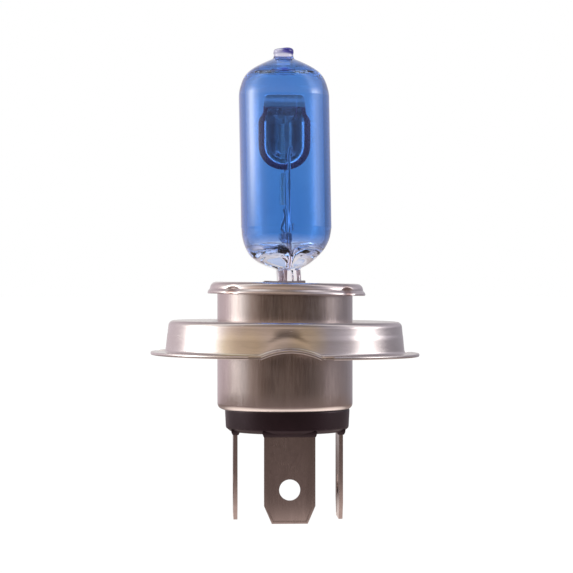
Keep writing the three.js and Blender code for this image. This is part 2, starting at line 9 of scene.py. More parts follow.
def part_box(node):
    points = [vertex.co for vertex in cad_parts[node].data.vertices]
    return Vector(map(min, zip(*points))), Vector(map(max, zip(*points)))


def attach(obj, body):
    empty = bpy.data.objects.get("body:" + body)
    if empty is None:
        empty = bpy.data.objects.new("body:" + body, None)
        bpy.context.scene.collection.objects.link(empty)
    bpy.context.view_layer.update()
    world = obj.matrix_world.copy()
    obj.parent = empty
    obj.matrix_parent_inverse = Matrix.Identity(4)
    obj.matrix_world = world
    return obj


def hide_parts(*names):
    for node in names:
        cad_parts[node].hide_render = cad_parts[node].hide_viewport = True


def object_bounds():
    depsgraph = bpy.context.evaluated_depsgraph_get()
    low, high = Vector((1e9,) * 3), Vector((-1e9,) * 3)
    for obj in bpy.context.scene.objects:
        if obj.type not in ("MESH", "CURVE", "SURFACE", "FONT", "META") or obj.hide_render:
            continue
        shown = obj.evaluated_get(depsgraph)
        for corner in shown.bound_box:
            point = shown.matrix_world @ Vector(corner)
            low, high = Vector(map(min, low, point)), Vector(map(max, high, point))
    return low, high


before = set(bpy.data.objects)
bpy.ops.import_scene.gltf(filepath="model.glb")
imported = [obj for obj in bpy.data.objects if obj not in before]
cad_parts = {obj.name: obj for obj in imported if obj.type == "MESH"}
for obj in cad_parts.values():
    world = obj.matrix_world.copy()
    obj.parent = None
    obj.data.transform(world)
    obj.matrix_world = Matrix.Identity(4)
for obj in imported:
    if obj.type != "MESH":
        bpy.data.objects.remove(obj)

CAD_BOX = [list(corner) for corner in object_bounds()]
MM = 0.001
TAU = 2 * math.pi

# ---- Places read from the frame, in millimetres --------------------------------------------


def low(node):
    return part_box(node)[0] / MM


def high(node):
    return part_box(node)[1] / MM


FLOOR_Z = CAD_BOX[0][2] / MM
FLANGE_R = high("focusing_ring").x
RING_TOP = high("focusing_ring").z
SHELL_R = high("base_shell").x
SHELL_BOTTOM = low("base_shell").z
DISC_TOP = high("mounting_disc").z
DISC_BOTTOM = low("mounting_disc").z
DISC_RIM_R = high("mounting_disc").x
GLASS_R = high("glass_bulb").x
GLASS_TOP = high("glass_bulb").z
PINCH_BOTTOM = low("glass_bulb").z
TIP_TOP = high("exhaust_tip").z
BASE_BOTTOM = low("base_insulator").z
FOIL_TOP = high("main_foil").z
BLADE_END = low("dipped_terminal").z
BLADE_TOP = high("dipped_terminal").z
BLADE_HALF = high("dipped_terminal").x
BLADE_MID = (low("dipped_terminal").y + high("dipped_terminal").y) / 2
BLADE_SHEET = high("dipped_terminal").y - low("dipped_terminal").y
SHIELD_FRONT = low("dipped_beam_shield").y
SHIELD_BACK = high("dipped_beam_shield").y
SHIELD_LOW = low("dipped_beam_shield").z
SHIELD_HIGH = high("dipped_beam_shield").z
SHIELD_HALF = high("dipped_beam_shield").x
BRIDGE_LOW = low("wire_bridge").z
BRIDGE_HIGH = high("wire_bridge").z

# Sizes of details that the frame doesn't hold.
SHEET = 0.5
SHELL_SHEET = 0.4
CUP_TOP_R = 18.7
CUP_FOOT_R = 19.1
FOOT_START = 19.9
WALL = 1.0

# ---- Modelling helpers ---------------------------------------------------------------------


def deselect():
    if bpy.context.mode != "OBJECT":
        bpy.ops.object.mode_set(mode="OBJECT")
    bpy.ops.object.select_all(action="DESELECT")


def only(obj):
    deselect()
    obj.select_set(True)
    bpy.context.view_layer.objects.active = obj


def named(name):
    obj = bpy.context.active_object
    obj.name = name
    obj.data.name = name
    return obj


def settle(obj):
    """Puts the object's place, turn and scale into its mesh."""
    only(obj)
    bpy.ops.object.transform_apply(location=True, rotation=True, scale=True)


def modify(obj, kind, **settings):
    """Adds one modifier and applies it."""
    only(obj)
    modifier = obj.modifiers.new(kind.title(), kind)
    for key, value in settings.items():
        setattr(modifier, key, value)
    bpy.ops.object.modifier_apply(modifier=modifier.name)


def edit(obj, action="SELECT"):
    """Opens a mesh for editing with all of it chosen, or none."""
    only(obj)
    bpy.ops.object.mode_set(mode="EDIT")
    bpy.ops.mesh.select_all(action=action)


def tidy_normals(obj, merge=1e-7):
    edit(obj)
    bpy.ops.mesh.remove_doubles(threshold=merge)
    bpy.ops.mesh.normals_make_consistent(inside=False)
    bpy.ops.object.mode_set(mode="OBJECT")


def soften(obj, width, segments=2, degrees=30):
    """Rounds the edges that turn more sharply than an angle."""
    angle = math.radians(degrees)
    modify(obj, "BEVEL", width=width * MM, segments=segments, limit_method="ANGLE", angle_limit=angle)


def smooth(obj, degrees=35):
    only(obj)
    bpy.ops.object.shade_smooth_by_angle(angle=math.radians(degrees))


def arc(centre_r, centre_z, radius, start, end, steps):
    """Profile points along an arc, angles in degrees."""
    points = []
    for i in range(steps + 1):
        angle = math.radians(start + (end - start) * i / steps)
        points.append((centre_r + radius * math.cos(angle), centre_z + radius * math.sin(angle)))
    return points


def single_vertex(name, place):
    deselect()
    bpy.ops.mesh.primitive_circle_add(vertices=3, radius=0.1 * MM)
    obj = named(name)
    edit(obj)
    bpy.ops.mesh.merge(type="CENTER")
    bpy.ops.transform.translate(value=Vector(place) * MM)
    return obj


def turned(name, profile, closed=False, steps=192, turn=360):
    """Extrudes a profile point by point from one vertex and spins it about the lamp axis."""
    obj = single_vertex(name, (profile[0][0], 0, profile[0][1]))
    path = list(profile) + ([profile[0]] if closed else [])
    for (r0, z0), (r1, z1) in zip(path, path[1:]):
        step = Vector((r1 - r0, 0, z1 - z0)) * MM
        bpy.ops.mesh.extrude_vertices_move(TRANSFORM_OT_translate={"value": step})
    bpy.ops.mesh.select_all(action="SELECT")
    bpy.ops.mesh.spin(steps=steps, angle=math.radians(turn), center=(0, 0, 0), axis=(0, 0, 1))
    tidy_normals(obj, 1e-6)
    return obj


def reshape(obj, place):
    """Moves every vertex to place(point), in millimetres."""
    for vertex in obj.data.vertices:
        vertex.co = Vector(place(vertex.co / MM)) * MM


def loft(name, rings):
    """Extrudes a circle ring by ring, with each new ring drawn out to its own outline, and caps both ends."""
    count = len(rings[0])
    deselect()
    bpy.ops.mesh.primitive_circle_add(vertices=count, radius=MM, fill_type="NOTHING")
    obj = named(name)
    edit(obj)
    mesh = bmesh.from_edit_mesh(obj.data)
    loop = list(mesh.verts)
    for vertex, point in zip(loop, rings[0]):
        vertex.co = Vector(point) * MM
    bpy.ops.mesh.edge_face_add()
    for ring in rings[1:]:
        mesh = bmesh.from_edit_mesh(obj.data)
        before = {tuple(round(c, 9) for c in v.co): i for i, v in enumerate(loop)}
        bpy.ops.mesh.extrude_region_move(TRANSFORM_OT_translate={"value": (0, 0, 0)})
        mesh = bmesh.from_edit_mesh(obj.data)
        chosen = [v for v in mesh.verts if v.select]
        loop = [None] * count
        for vertex in chosen:
            loop[before[tuple(round(c, 9) for c in vertex.co)]] = vertex
        for vertex, point in zip(loop, ring):
            vertex.co = Vector(point) * MM
        bmesh.update_edit_mesh(obj.data)
    tidy_normals(obj)
    return obj


def block(name, low_corner, high_corner, turn=0):
    lower, upper = Vector(low_corner), Vector(high_corner)
    deselect()
    bpy.ops.mesh.primitive_cube_add(size=MM, location=(lower + upper) / 2 * MM)
    obj = named(name)
    obj.scale = upper - lower
    settle(obj)
    if turn:
        obj.rotation_euler = (0, 0, math.radians(turn))
        settle(obj)
    return obj


def drum(name, radius, start, end, sides=48):
    """A cylinder between two points."""
    start, end = Vector(start), Vector(end)
    axis = end - start
    deselect()
    bpy.ops.mesh.primitive_cylinder_add(vertices=sides, radius=radius * MM, depth=axis.length * MM)
    obj = named(name)
    obj.rotation_euler = axis.to_track_quat("Z", "Y").to_euler()
    obj.location = (start + end) / 2 * MM
    settle(obj)
    return obj


def boolean(obj, tools, operation):
    for tool in tools:
        modify(obj, "BOOLEAN", operation=operation, object=tool, solver="EXACT")
        bpy.data.objects.remove(tool)


def join(parts, name):
    deselect()
    for part in parts:
        part.select_set(True)
    bpy.context.view_layer.objects.active = parts[0]
    bpy.ops.object.join()
    return named(name)


def wire(name, points, diameter, sides=4):
    """A round wire drawn along a smooth path and made a mesh."""
    deselect()
    bpy.ops.curve.primitive_nurbs_path_add()
    obj = bpy.context.active_object
    curve = obj.data
    curve.splines.clear()
    spline = curve.splines.new("BEZIER")
    spline.bezier_points.add(len(points) - 1)
    for knot, point in zip(spline.bezier_points, points):
        knot.co = Vector(point) * MM
        knot.handle_left_type = knot.handle_right_type = "AUTO"
    curve.resolution_u = 16
    curve.bevel_depth = diameter / 2 * MM
    curve.bevel_resolution = sides
    curve.use_fill_caps = True
    only(obj)
    bpy.ops.object.convert(target="MESH")
    obj = named(name)
    settle(obj)
    tidy_normals(obj)
    smooth(obj, 50)
    return obj


def coil(name, place, start, length, turns, diameter, thickness, sides=10, steps=28):
    """A wire ring screwed up into a coil about its own axis, then moved to its place."""
    deselect()
    place_out, upright = (diameter / 2 * MM, 0, 0), (math.pi / 2, 0, 0)
    bpy.ops.mesh.primitive_circle_add(
        vertices=sides, radius=thickness / 2 * MM, location=place_out, rotation=upright
    )
    obj = named(name)
    settle(obj)
    modify(
        obj, "SCREW", axis="Z", angle=TAU, screw_offset=length / turns * MM, iterations=turns,
        steps=steps, render_steps=steps, use_merge_vertices=True, merge_threshold=1e-7,
    )
    obj.location = Vector((place[0], place[1], start)) * MM
    settle(obj)
    edit(obj, "DESELECT")
    bpy.ops.mesh.select_mode(type="EDGE")
    bpy.ops.mesh.select_non_manifold()
    bpy.ops.mesh.edge_face_add()
    bpy.ops.mesh.select_mode(type="VERT")
    tidy_normals(obj)
    smooth(obj, 60)
    return obj


def nudge(obj, aside=0, lean=0, pivot=0):
    """Shifts a piece sideways and leans it clockwise, as seen from the front, about a height on the axis."""
    turn = math.radians(lean)

    def place(p):
        up = p.z - pivot
        x = p.x * math.cos(turn) + up * math.sin(turn) + aside
        return (x, p.y, pivot - p.x * math.sin(turn) + up * math.cos(turn))

    reshape(obj, place)


def flat_faces(obj):
    """Keeps large flat faces flat beside their small rounded edges."""
    modify(obj, "WEIGHTED_NORMAL", keep_sharp=True, weight=100)


def between(value, table):
    """Straight-line look-up in a table of (value, result) pairs."""
    if value <= table[0][0]:
        return table[0][1]
    for (a, fa), (b, fb) in zip(table, table[1:]):
        if value <= b:
            return fa + (fb - fa) * (value - a) / (b - a)
    return table[-1][1]


def ease(value):
    """A soft step from 0 to 1."""
    value = min(1, max(0, value))
    return value * value * (3 - 2 * value)


def round_from(p, degrees):
    """How far a point lies round the axis from a direction, in millimetres; degrees run from the front."""
    angle = math.degrees(math.atan2(p.x, -p.y))
    return math.radians((angle - degrees + 180) % 360 - 180) * math.hypot(p.x, p.y)


# ---- Shader node groups --------------------------------------------------------------------


class Nodes:
    """Adds nodes to a tree. What an input is given is either another node's output or a plain value."""

    def __init__(self, tree):
        self.tree = tree

    def add(self, kind, **settings):
        node = self.tree.nodes.new(kind)
        for key, value in settings.items():
            setattr(node, key, value)
        return node

    def give(self, node, values):
        """Links or sets a node's inputs, by name or number."""
        for key, value in values.items():
            socket = node.inputs[key]
            if isinstance(value, bpy.types.NodeSocket):
                self.tree.links.new(value, socket)
            elif socket.type == "RGBA":
                socket.default_value = (*value, 1)
            else:
                socket.default_value = value
        return node

    def math(self, operation, first, second, clamp=False):
        node = self.add("ShaderNodeMath", operation=operation, use_clamp=clamp)
        return self.give(node, {0: first, 1: second}).outputs[0]

    def times(self, first, second, clamp=False):
        return self.math("MULTIPLY", first, second, clamp)

    def vector(self, operation, first, second=(0, 0, 0)):
        node = self.add("ShaderNodeVectorMath", operation=operation)
        self.give(node, {0: first, "Scale" if operation == "SCALE" else 1: second})
        return node.outputs["Value" if operation in ("LENGTH", "DISTANCE") else 0]

    def axes(self, vector):
        return self.give(self.add("ShaderNodeSeparateXYZ"), {0: vector}).outputs

    def noise(self, vector, scale, detail=4, rough=0.5):
        node = self.add("ShaderNodeTexNoise")
        self.give(node, {"Vector": vector, "Scale": scale, "Detail": detail, "Roughness": rough})
        return node.outputs["Fac"]

    def remap(self, value, from_low, from_high, to_low=0, to_high=1):
        ends = {"From Min": from_low, "From Max": from_high, "To Min": to_low, "To Max": to_high}
        return self.give(self.add("ShaderNodeMapRange"), {"Value": value, **ends}).outputs["Result"]

    def uneven(self, vector, scale, detail, to_low=0, to_high=1):
        """Noise spread between two values."""
        return self.remap(self.noise(vector, scale, detail), 0.3, 0.7, to_low, to_high)

    def mix(self, factor, first, second):
        node = self.add("ShaderNodeMix", data_type="RGBA")
        return self.give(node, {0: factor, 6: first, 7: second}).outputs[2]

    def bump(self, height, strength, distance):
        values = {"Height": height, "Strength": strength, "Distance": distance}
        return self.give(self.add("ShaderNodeBump"), values).outputs["Normal"]


def new_group(name, values, results):
    """A node group that takes a Vector and the named values, and gives the named numbers."""
    tree = bpy.data.node_groups.new(name, "ShaderNodeTree")
    for title, value in {"Vector": (0, 0, 0), **values}.items():
        kind = "NodeSocketVector" if isinstance(value, tuple) else "NodeSocketFloat"
        tree.interface.new_socket(title, in_out="INPUT", socket_type=kind).default_value = value
    for title in results:
        tree.interface.new_socket(title, in_out="OUTPUT", socket_type="NodeSocketFloat")
    nodes = Nodes(tree)
    return nodes, nodes.add("NodeGroupInput").outputs, nodes.add("NodeGroupOutput")


def make_drawn_grain():
    """Fine marks that run one way, as on rolled and drawn metal; Stretch spreads them along X, Y and Z."""
    nodes, given, out = new_group("drawn_grain", {"Stretch": (1, 1, 1), "Scale": 1000}, ("Marks", "Broad"))
    stretched = nodes.vector("MULTIPLY", given["Vector"], given["Stretch"])
    fine = nodes.noise(stretched, given["Scale"], 5, 0.6)
    broad = nodes.noise(stretched, nodes.times(given["Scale"], 0.13), 3)
    nodes.give(out, {"Marks": fine, "Broad": broad})
    return nodes.tree


def make_handling():
    """Smudges and faint tarnish: a soft mask and a speckled one."""
    nodes, given, out = new_group("handling", {"Size": 200, "Amount": 0.5}, ("Smudge", "Speck"))
    soft = nodes.noise(given["Vector"], given["Size"], 3)
    smudge = nodes.times(nodes.remap(soft, 0.42, 0.68), given["Amount"], clamp=True)
    grain = nodes.noise(given["Vector"], nodes.times(given["Size"], 11), 2, 0.7)
    speck = nodes.times(nodes.remap(grain, 0.62, 0.74), given["Amount"], clamp=True)
    nodes.give(out, {"Smudge": smudge, "Speck": speck})
    return nodes.tree


def make_edge_wear():
    """A mask of raised edges, broken up by noise."""
    nodes, given, out = new_group("edge_wear", {"Amount": 0.5}, ("Edge",))
    edge = nodes.remap(nodes.add("ShaderNodeNewGeometry").outputs["Pointiness"], 0.52, 0.62)
    broken = nodes.remap(nodes.noise(given["Vector"], 1500, 3), 0.3, 0.6)
    worn = nodes.times(nodes.times(edge, broken), given["Amount"], clamp=True)
    nodes.give(out, {"Edge": worn})
    return nodes.tree


DRAWN_GRAIN = make_drawn_grain()
HANDLING = make_handling()
EDGE_WEAR = make_edge_wear()

# ---- Materials -----------------------------------------------------------------------------

COAT_BLUE = (0.050, 0.190, 0.58)
COAT_BLUE_THIN = (0.062, 0.225, 0.63)
COAT_VIOLET = (0.17, 0.24, 0.62)
BARE_GLASS = (0.93, 0.90, 0.94)
GLASS_IOR = 1.32
# A light steel tone that paints a highlight band on the shell just above its curled lip.
LIP_HIGHLIGHT_STEEL = (0.98, 0.91, 0.88)
# Brown at the weld dimples: heat tint, and painted shade inside each dimple.
WELD_BROWN_AND_SHADE = (0.44, 0.32, 0.29)
BRAZE_STRAW = (0.74, 0.64, 0.45)

# How far apart the marks of a grain lie along X, Y and Z.
AROUND = (0.15, 0.15, 1.0)
ALONG = (1.0, 1.0, 0.06)
EVEN = (1.0, 1.0, 0.5)


def on_wall(radius, degrees, z):
    """A point on a round wall, in metres, by degrees from the front, positive to the right."""
    angle = math.radians(degrees)
    return (radius * MM * math.sin(angle), -radius * MM * math.cos(angle), z * MM)


DIMPLES = (49, 137, 225, 314)
DIMPLE_Z = DISC_BOTTOM + 0.55
WELDS = [on_wall(DISC_RIM_R, degrees, DIMPLE_Z) for degrees in DIMPLES]
BRAZE_MARKS = [on_wall(CUP_TOP_R + 0.1, degrees, z) for degrees, z in ((-27, 1.2), (-20, 1.5), (8, 2.2))]


def blank_material(name):
    material = bpy.data.materials.new(name)
    material.use_nodes = True
    material.node_tree.nodes.clear()
    nodes = Nodes(material.node_tree)
    shader = nodes.add("ShaderNodeBsdfPrincipled")
    nodes.give(nodes.add("ShaderNodeOutputMaterial"), {"Surface": shader.outputs["BSDF"]})
    return material, nodes, shader, nodes.add("ShaderNodeTexCoord").outputs["Object"]


def use_group(nodes, tree, coords, **values):
    node = nodes.add("ShaderNodeGroup", node_tree=tree)
    titled = {name.title(): value for name, value in values.items()}
    return nodes.give(node, {"Vector": coords, **titled}).outputs


def heat_tint_and_shade_marks(nodes, coords, places, reach):
    """A soft mask around each place, where heat has coloured the metal and, at the weld dimples, where shade
    is painted too.
    """
    mask = None
    for place in places:
        near = nodes.remap(nodes.vector("DISTANCE", coords, place), reach * 0.45, reach, 1, 0)
        mask = near if mask is None else nodes.math("MAXIMUM", mask, near)
    return mask


def metal(name, light, dark, rough, grain, stretch, bump=0.12, welds=(), straw=(), lip=None):
    """Bare or plated metal with a grain, smudges, specks, brighter worn edges, heat marks (at the weld
    dimples also painted shade), and a painted highlight band above the lip.
    """
    material, nodes, shader, coords = blank_material(name)
    marks = use_group(nodes, DRAWN_GRAIN, coords, stretch=stretch, scale=grain)
    touched = use_group(nodes, HANDLING, coords, size=260, amount=0.5)
    worn = use_group(nodes, EDGE_WEAR, coords, amount=0.4)
    colour = nodes.mix(nodes.remap(marks["Broad"], 0.3, 0.7), light, dark)
    colour = nodes.mix(nodes.times(touched["Smudge"], 0.35), colour, dark)
    colour = nodes.mix(nodes.times(touched["Speck"], 0.25), colour, dark)
    colour = nodes.mix(worn["Edge"], colour, tuple(min(1, c * 1.25) for c in light))
    if lip is not None:
        # Painted highlight: the shell turns lighter just above its curled lip.
        lip_highlight = nodes.remap(nodes.axes(coords)["Z"], (lip + 0.9) * MM, (lip + 0.45) * MM)
        colour = nodes.mix(lip_highlight, colour, LIP_HIGHLIGHT_STEEL)
    if welds:
        # Weld dimples: brown heat tint that also paints the shade inside each dimple.
        colour = nodes.mix(heat_tint_and_shade_marks(nodes, coords, welds, 0.0014), colour, WELD_BROWN_AND_SHADE)
    if straw:
        tinted = nodes.times(heat_tint_and_shade_marks(nodes, coords, straw, 0.0034), 0.6)
        colour = nodes.mix(tinted, colour, BRAZE_STRAW)
    grainy = nodes.remap(marks["Marks"], 0.25, 0.75, rough - 0.05, rough + 0.07)
    smeared = nodes.times(touched["Smudge"], 0.08)
    nodes.give(shader, {
        "Base Color": colour,
        "Roughness": nodes.math("ADD", grainy, smeared),
        "Normal": nodes.bump(marks["Marks"], bump, 0.00002),
        "Metallic": 1,
    })
    return material


def coated_glass():
    """Blue transparent coating: violet at a slant, and fading to bare glass at the foot."""
    material, nodes, shader, coords = blank_material("blue_coated_glass")
    wander = nodes.times(nodes.noise(coords, 260, 3), 0.0012)
    level = nodes.math("ADD", nodes.axes(coords)["Z"], wander)
    thick = nodes.remap(level, 0.0162, 0.0195, 0.72, 1.0)
    cover = nodes.times(nodes.remap(level, 0.0154, 0.0165), thick)
    blue = nodes.mix(nodes.uneven(coords, 120, 3), COAT_BLUE, COAT_BLUE_THIN)
    slant = nodes.give(nodes.add("ShaderNodeLayerWeight"), {"Blend": 0.25}).outputs["Facing"]
    slanted = nodes.mix(nodes.remap(slant, 0.15, 0.9), blue, COAT_VIOLET)
    nodes.give(shader, {
        "Base Color": nodes.mix(cover, BARE_GLASS, slanted),
        "Roughness": nodes.uneven(coords, 900, 3, 0.0, 0.02),
        "Transmission Weight": 1,
        "IOR": GLASS_IOR,
        "Coat Weight": 0.8,
        "Coat IOR": 1.7,
        "Coat Roughness": 0.03,
    })
    return material


def stained_tip():
    """Clear glass with a dark violet stain of coating over its crown."""
    material, nodes, shader, coords = blank_material("stained_tip")
    place = nodes.axes(coords)
    wander = nodes.times(nodes.noise(coords, 700, 2), 0.0006)
    aside = nodes.times(place["X"], 0.5)
    level = nodes.math("ADD", nodes.math("ADD", place["Z"], wander), aside)
    crown = nodes.remap(level, TIP_TOP * MM - 0.0006, TIP_TOP * MM - 0.0002)
    nodes.give(shader, {
        "Base Color": nodes.mix(crown, (0.62, 0.60, 0.74), (0.025, 0.02, 0.20)),
        "Roughness": nodes.uneven(coords, 900, 3, 0.0, 0.03),
        "Transmission Weight": 1,
        "IOR": 1.5,
    })
    return material


def clear_glass(name, tint, ripple=0.02):
    """Clear glass with a faint cloud and a gentle ripple."""
    material, nodes, shader, coords = blank_material(name)
    nodes.give(shader, {
        "Base Color": nodes.mix(nodes.uneven(coords, 300, 3), tint, tuple(c * 0.97 for c in tint)),
        "Roughness": nodes.uneven(coords, 700, 2, 0.0, 0.02),
        "Normal": nodes.bump(nodes.noise(coords, 180, 2), ripple, 0.0001),
        "Transmission Weight": 1,
        "IOR": GLASS_IOR,
    })
    return material


def black_resin():
    """Moulded black resin with a fine uneven skin and worn edges."""
    material, nodes, shader, coords = blank_material("black_resin")
    touched = use_group(nodes, HANDLING, coords, size=300, amount=0.8)
    worn = use_group(nodes, EDGE_WEAR, coords, amount=0.5)
    base = nodes.mix(touched["Smudge"], (0.010, 0.0035, 0.0065), (0.018, 0.008, 0.013))
    skin = nodes.noise(coords, 4200, 3, 0.65)
    nodes.give(shader, {
        "Base Color": nodes.mix(nodes.times(worn["Edge"], 0.5), base, (0.07, 0.055, 0.06)),
        "Specular Tint": (1.0, 0.78, 0.86),
        "Roughness": nodes.remap(skin, 0.3, 0.7, 0.30, 0.45),
        "Normal": nodes.bump(skin, 0.25, 0.00003),
    })
    return material


def metals():
    """Each metal's light and dark tone, roughness, size of grain and run of grain."""
    steel = ((0.76, 0.70, 0.68), (0.70, 0.63, 0.60), 0.2, 3600, AROUND, 0.02)
    disc = ((0.76, 0.69, 0.67), (0.70, 0.62, 0.60), 0.18, 3600, AROUND, 0.02)
    shell = ((0.66, 0.575, 0.55), (0.60, 0.515, 0.485), 0.18, 5200, ALONG, 0.01)
    made = {
        "ring_steel": metal("ring_steel", *steel, straw=BRAZE_MARKS),
        "disc_steel": metal("disc_steel", *disc, welds=WELDS),
        "shell_steel": metal("shell_steel", *shell, lip=SHELL_BOTTOM),
    }
    plain = {
        "blade_steel": ((0.39, 0.32, 0.305), (0.345, 0.28, 0.265), 0.20, 5200, ALONG, 0.02),
        "clip_steel": ((0.45, 0.42, 0.48), (0.33, 0.31, 0.36), 0.30, 2600, AROUND),
        "shield_metal": ((0.88, 0.78, 0.78), (0.78, 0.69, 0.70), 0.10, 2600, EVEN, 0.01),
        # A darker, purplish copy of the shield metal that paints shade on the dish's front rim.
        "shield_rim_painted_shade": ((0.62, 0.28, 0.36), (0.50, 0.22, 0.30), 0.25, 2600, EVEN, 0.02),
        "filament_wire": ((0.95, 0.95, 0.90), (0.85, 0.86, 0.82), 0.2, 9000, AROUND, 0.03),
        "rod_wire": ((0.80, 0.74, 0.78), (0.66, 0.60, 0.64), 0.16, 6000, ALONG, 0.02),
        "foil_metal": ((0.50, 0.38, 0.42), (0.38, 0.28, 0.33), 0.35, 4000, ALONG),
    }
    return {**made, **{name: metal(name, *finish) for name, finish in plain.items()}}


MATERIALS = {
    **metals(),
    "glass_outside": coated_glass(),
    "glass_inside": clear_glass("clear_glass_inside", (0.99, 0.99, 1.0)),
    "tip_glass": stained_tip(),
    "bridge_glass": clear_glass("bridge_glass", (0.80, 0.84, 0.92), 0.05),
    "black_resin": black_resin(),
}


def finish_piece(obj, node, material):
    """Gives a piece its material and slot, puts it on the body and lets it stand for its CAD node."""
    obj.data.materials.clear()
    for name in (material,) if isinstance(material, str) else material:
        obj.data.materials.append(MATERIALS[name])
    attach(obj, "root")
    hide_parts(node)
    return obj


# ---- Glass ---------------------------------------------------------------------------------

GLASS_SIDES = 128
PINCH_HALF_X = 2.0
PINCH_HALF_Y = 5.5
FOOT_DROP = 6.75
FOOT_LOW = 13.0
CAVITY_LOW = 15.6


def foot_ring(half_x, half_y, power, z):
    """An oval ring whose corners square up as power grows."""
    ring = []
    for i in range(GLASS_SIDES):
        angle = TAU * i / GLASS_SIDES
        c, s = math.cos(angle), math.sin(angle)
        x = half_x * math.copysign(abs(c) ** (2 / power), c)
        y = half_y * math.copysign(abs(s) ** (2 / power), s)
        ring.append((x, y, z))
    return ring


def foot_half_width(z):
    """Half width of the foot from the front: a round bowl that runs softly into the pinch."""
    drop = min(1, max(0, (FOOT_START - z) / FOOT_DROP))
    round_part = (1 - drop ** 2.1) ** (1 / 2.1)
    bowl = GLASS_R * round_part
    soft = 0.45
    spread = math.sqrt((bowl - PINCH_HALF_X) ** 2 + soft ** 2)
    return 0.5 * (bowl + PINCH_HALF_X + spread) - 0.3 * soft * (1 - round_part) ** 0.1


DOME = (
    (7.25, 41.0), (7.2, 41.5), (7.08, 42.1), (6.85, 42.9), (6.5, 43.75), (5.95, 44.55), (5.15, 45.25),
    (4.25, 45.8), (3.3, 46.28), (2.4, 46.68), (1.75, 46.95), (1.2, 47.04), (0.6, 47.08), (0.2, 47.1),
)
CROWN = (
    (6.25, 41.4), (6.22, 42.3), (6.1, 43.0), (5.85, 43.55), (5.45, 43.95), (4.8, 44.25), (3.8, 44.45),
    (2.6, 44.58), (1.5, 44.65), (1.2, 44.75), (1.15, 45.0), (1.2, 45.4), (1.18, 45.8), (1.0, 46.15),
    (0.65, 46.38), (0.25, 46.45),
)
FOOT_ASIDE = (
    (11.0, 0.65), (12.8, 0.58), (13.2, 0.45), (13.6, 0.15), (14.3, -0.08), (15.2, -0.16), (16.5, 0.02),
    (18.0, 0.15), (19.6, 0.21), (47.1, -0.27),
)


def upper_rings(radius, curve):
    """Rings up the straight tube and over its end; close pairs of rings keep both joins crisp."""
    end = curve[0][1]
    straight = [(radius, z) for z in (FOOT_START + 0.12, FOOT_START + 0.5, 25, 30, 35, end - 0.5, end - 0.12)]
    return [foot_ring(r, r, 2, z) for r, z in straight + rounded(curve, 3)]


def outer_rings():
    rings = []
    first = PINCH_BOTTOM + 0.3
    levels = [PINCH_BOTTOM, first]
    levels += [first + (FOOT_LOW - first) * i / 10 for i in range(1, 11)]
    levels += [FOOT_LOW + (FOOT_START - FOOT_LOW) * (i / 34) for i in range(1, 35)]
    for z in levels:
        half_x = min(GLASS_R, foot_half_width(z))
        share = (half_x - PINCH_HALF_X) / (GLASS_R - PINCH_HALF_X)
        half_y = PINCH_HALF_Y + (GLASS_R - PINCH_HALF_Y) * max(0, share) ** 0.7
        power = 2 + 1.4 * (1 - ease(share * 1.6))
        shrink = 0.92 if z == PINCH_BOTTOM else 1
        rings.append(foot_ring(half_x * shrink, half_y * shrink, power, z))
    return rings + upper_rings(GLASS_R, DOME)


def rounded(points, steps):
    """A smooth curve through profile points."""
    path = []
    last = len(points) - 1
    for i in range(last):
        before, start, end, after = (Vector(points[min(last, max(0, i + k))]) for k in (-1, 0, 1, 2))
        for step in range(steps):
            t = step / steps
            line = 2 * start + (end - before) * t
            curve = (2 * before - 5 * start + 4 * end - after) * t * t
            turn = (3 * start - before - 3 * end + after) * t ** 3
            path.append(tuple((line + curve + turn) / 2))
    path.append(points[-1])
    return path


def floor_of_cavity(x, y):
    """Height of the glass floor inside: two low humps with a narrow valley between, where the wires go in."""
    right = 0.75 * math.exp(-(((x - 3.3) / 1.7) ** 2))
    left = 0.40 * math.exp(-(((x + 2.3) / 1.9) ** 2))
    valley = 1.2 * math.exp(-(((x - 0.8) / 0.5) ** 2))
    ripple = 0.09 * math.sin(2.6 * x + 0.5) * math.cos(1.9 * y + 0.4)
    return (right + left - valley + ripple) * math.exp(-((y / 4.6) ** 2))


def inner_rings():
    bore = GLASS_R - WALL
    rings = []
    for i in range(1, 41):
        angle = math.pi / 2 * i / 40
        radius = bore * math.sin(angle) ** 0.7
        z = FOOT_START - (FOOT_START - CAVITY_LOW) * max(0, math.cos(angle)) ** 0.7
        weight = 1 - ease((radius - 3.6) / 2.2)
        ring = foot_ring(radius, radius, 2, z)
        rings.append([(x, y, z + weight * floor_of_cavity(x, y)) for x, y, z in ring])
    return rings + upper_rings(bore, CROWN)


def flip(obj):
    edit(obj)
    bpy.ops.mesh.flip_normals()
    bpy.ops.object.mode_set(mode="OBJECT")


def glass_capsule():
    outside = loft("glass_outside_form", outer_rings())
    inside = loft("glass_inside_form", inner_rings())
    flip(inside)
    inner_faces = len(inside.data.polygons)
    capsule = join([outside, inside], "glass_capsule")

    def pressed(p):
        """Leans the glass and leaves the faint flutes of the pressing jaws on the flat foot."""
        flute = 0.2 * math.sin(5.2 * p.x + 0.8) * ease((13.6 - p.z) / 0.9) * ease((abs(p.y) - 3.6) / 0.8)
        return (p.x + between(p.z, FOOT_ASIDE), p.y - math.copysign(abs(flute) + flute, p.y) / 2, p.z)

    reshape(capsule, pressed)
    smooth(capsule, 60)
    finish_piece(capsule, "glass_bulb", ("glass_outside", "glass_inside"))
    total = len(capsule.data.polygons)
    for face in capsule.data.polygons:
        face.material_index = 1 if face.index >= total - inner_faces else 0
    return capsule


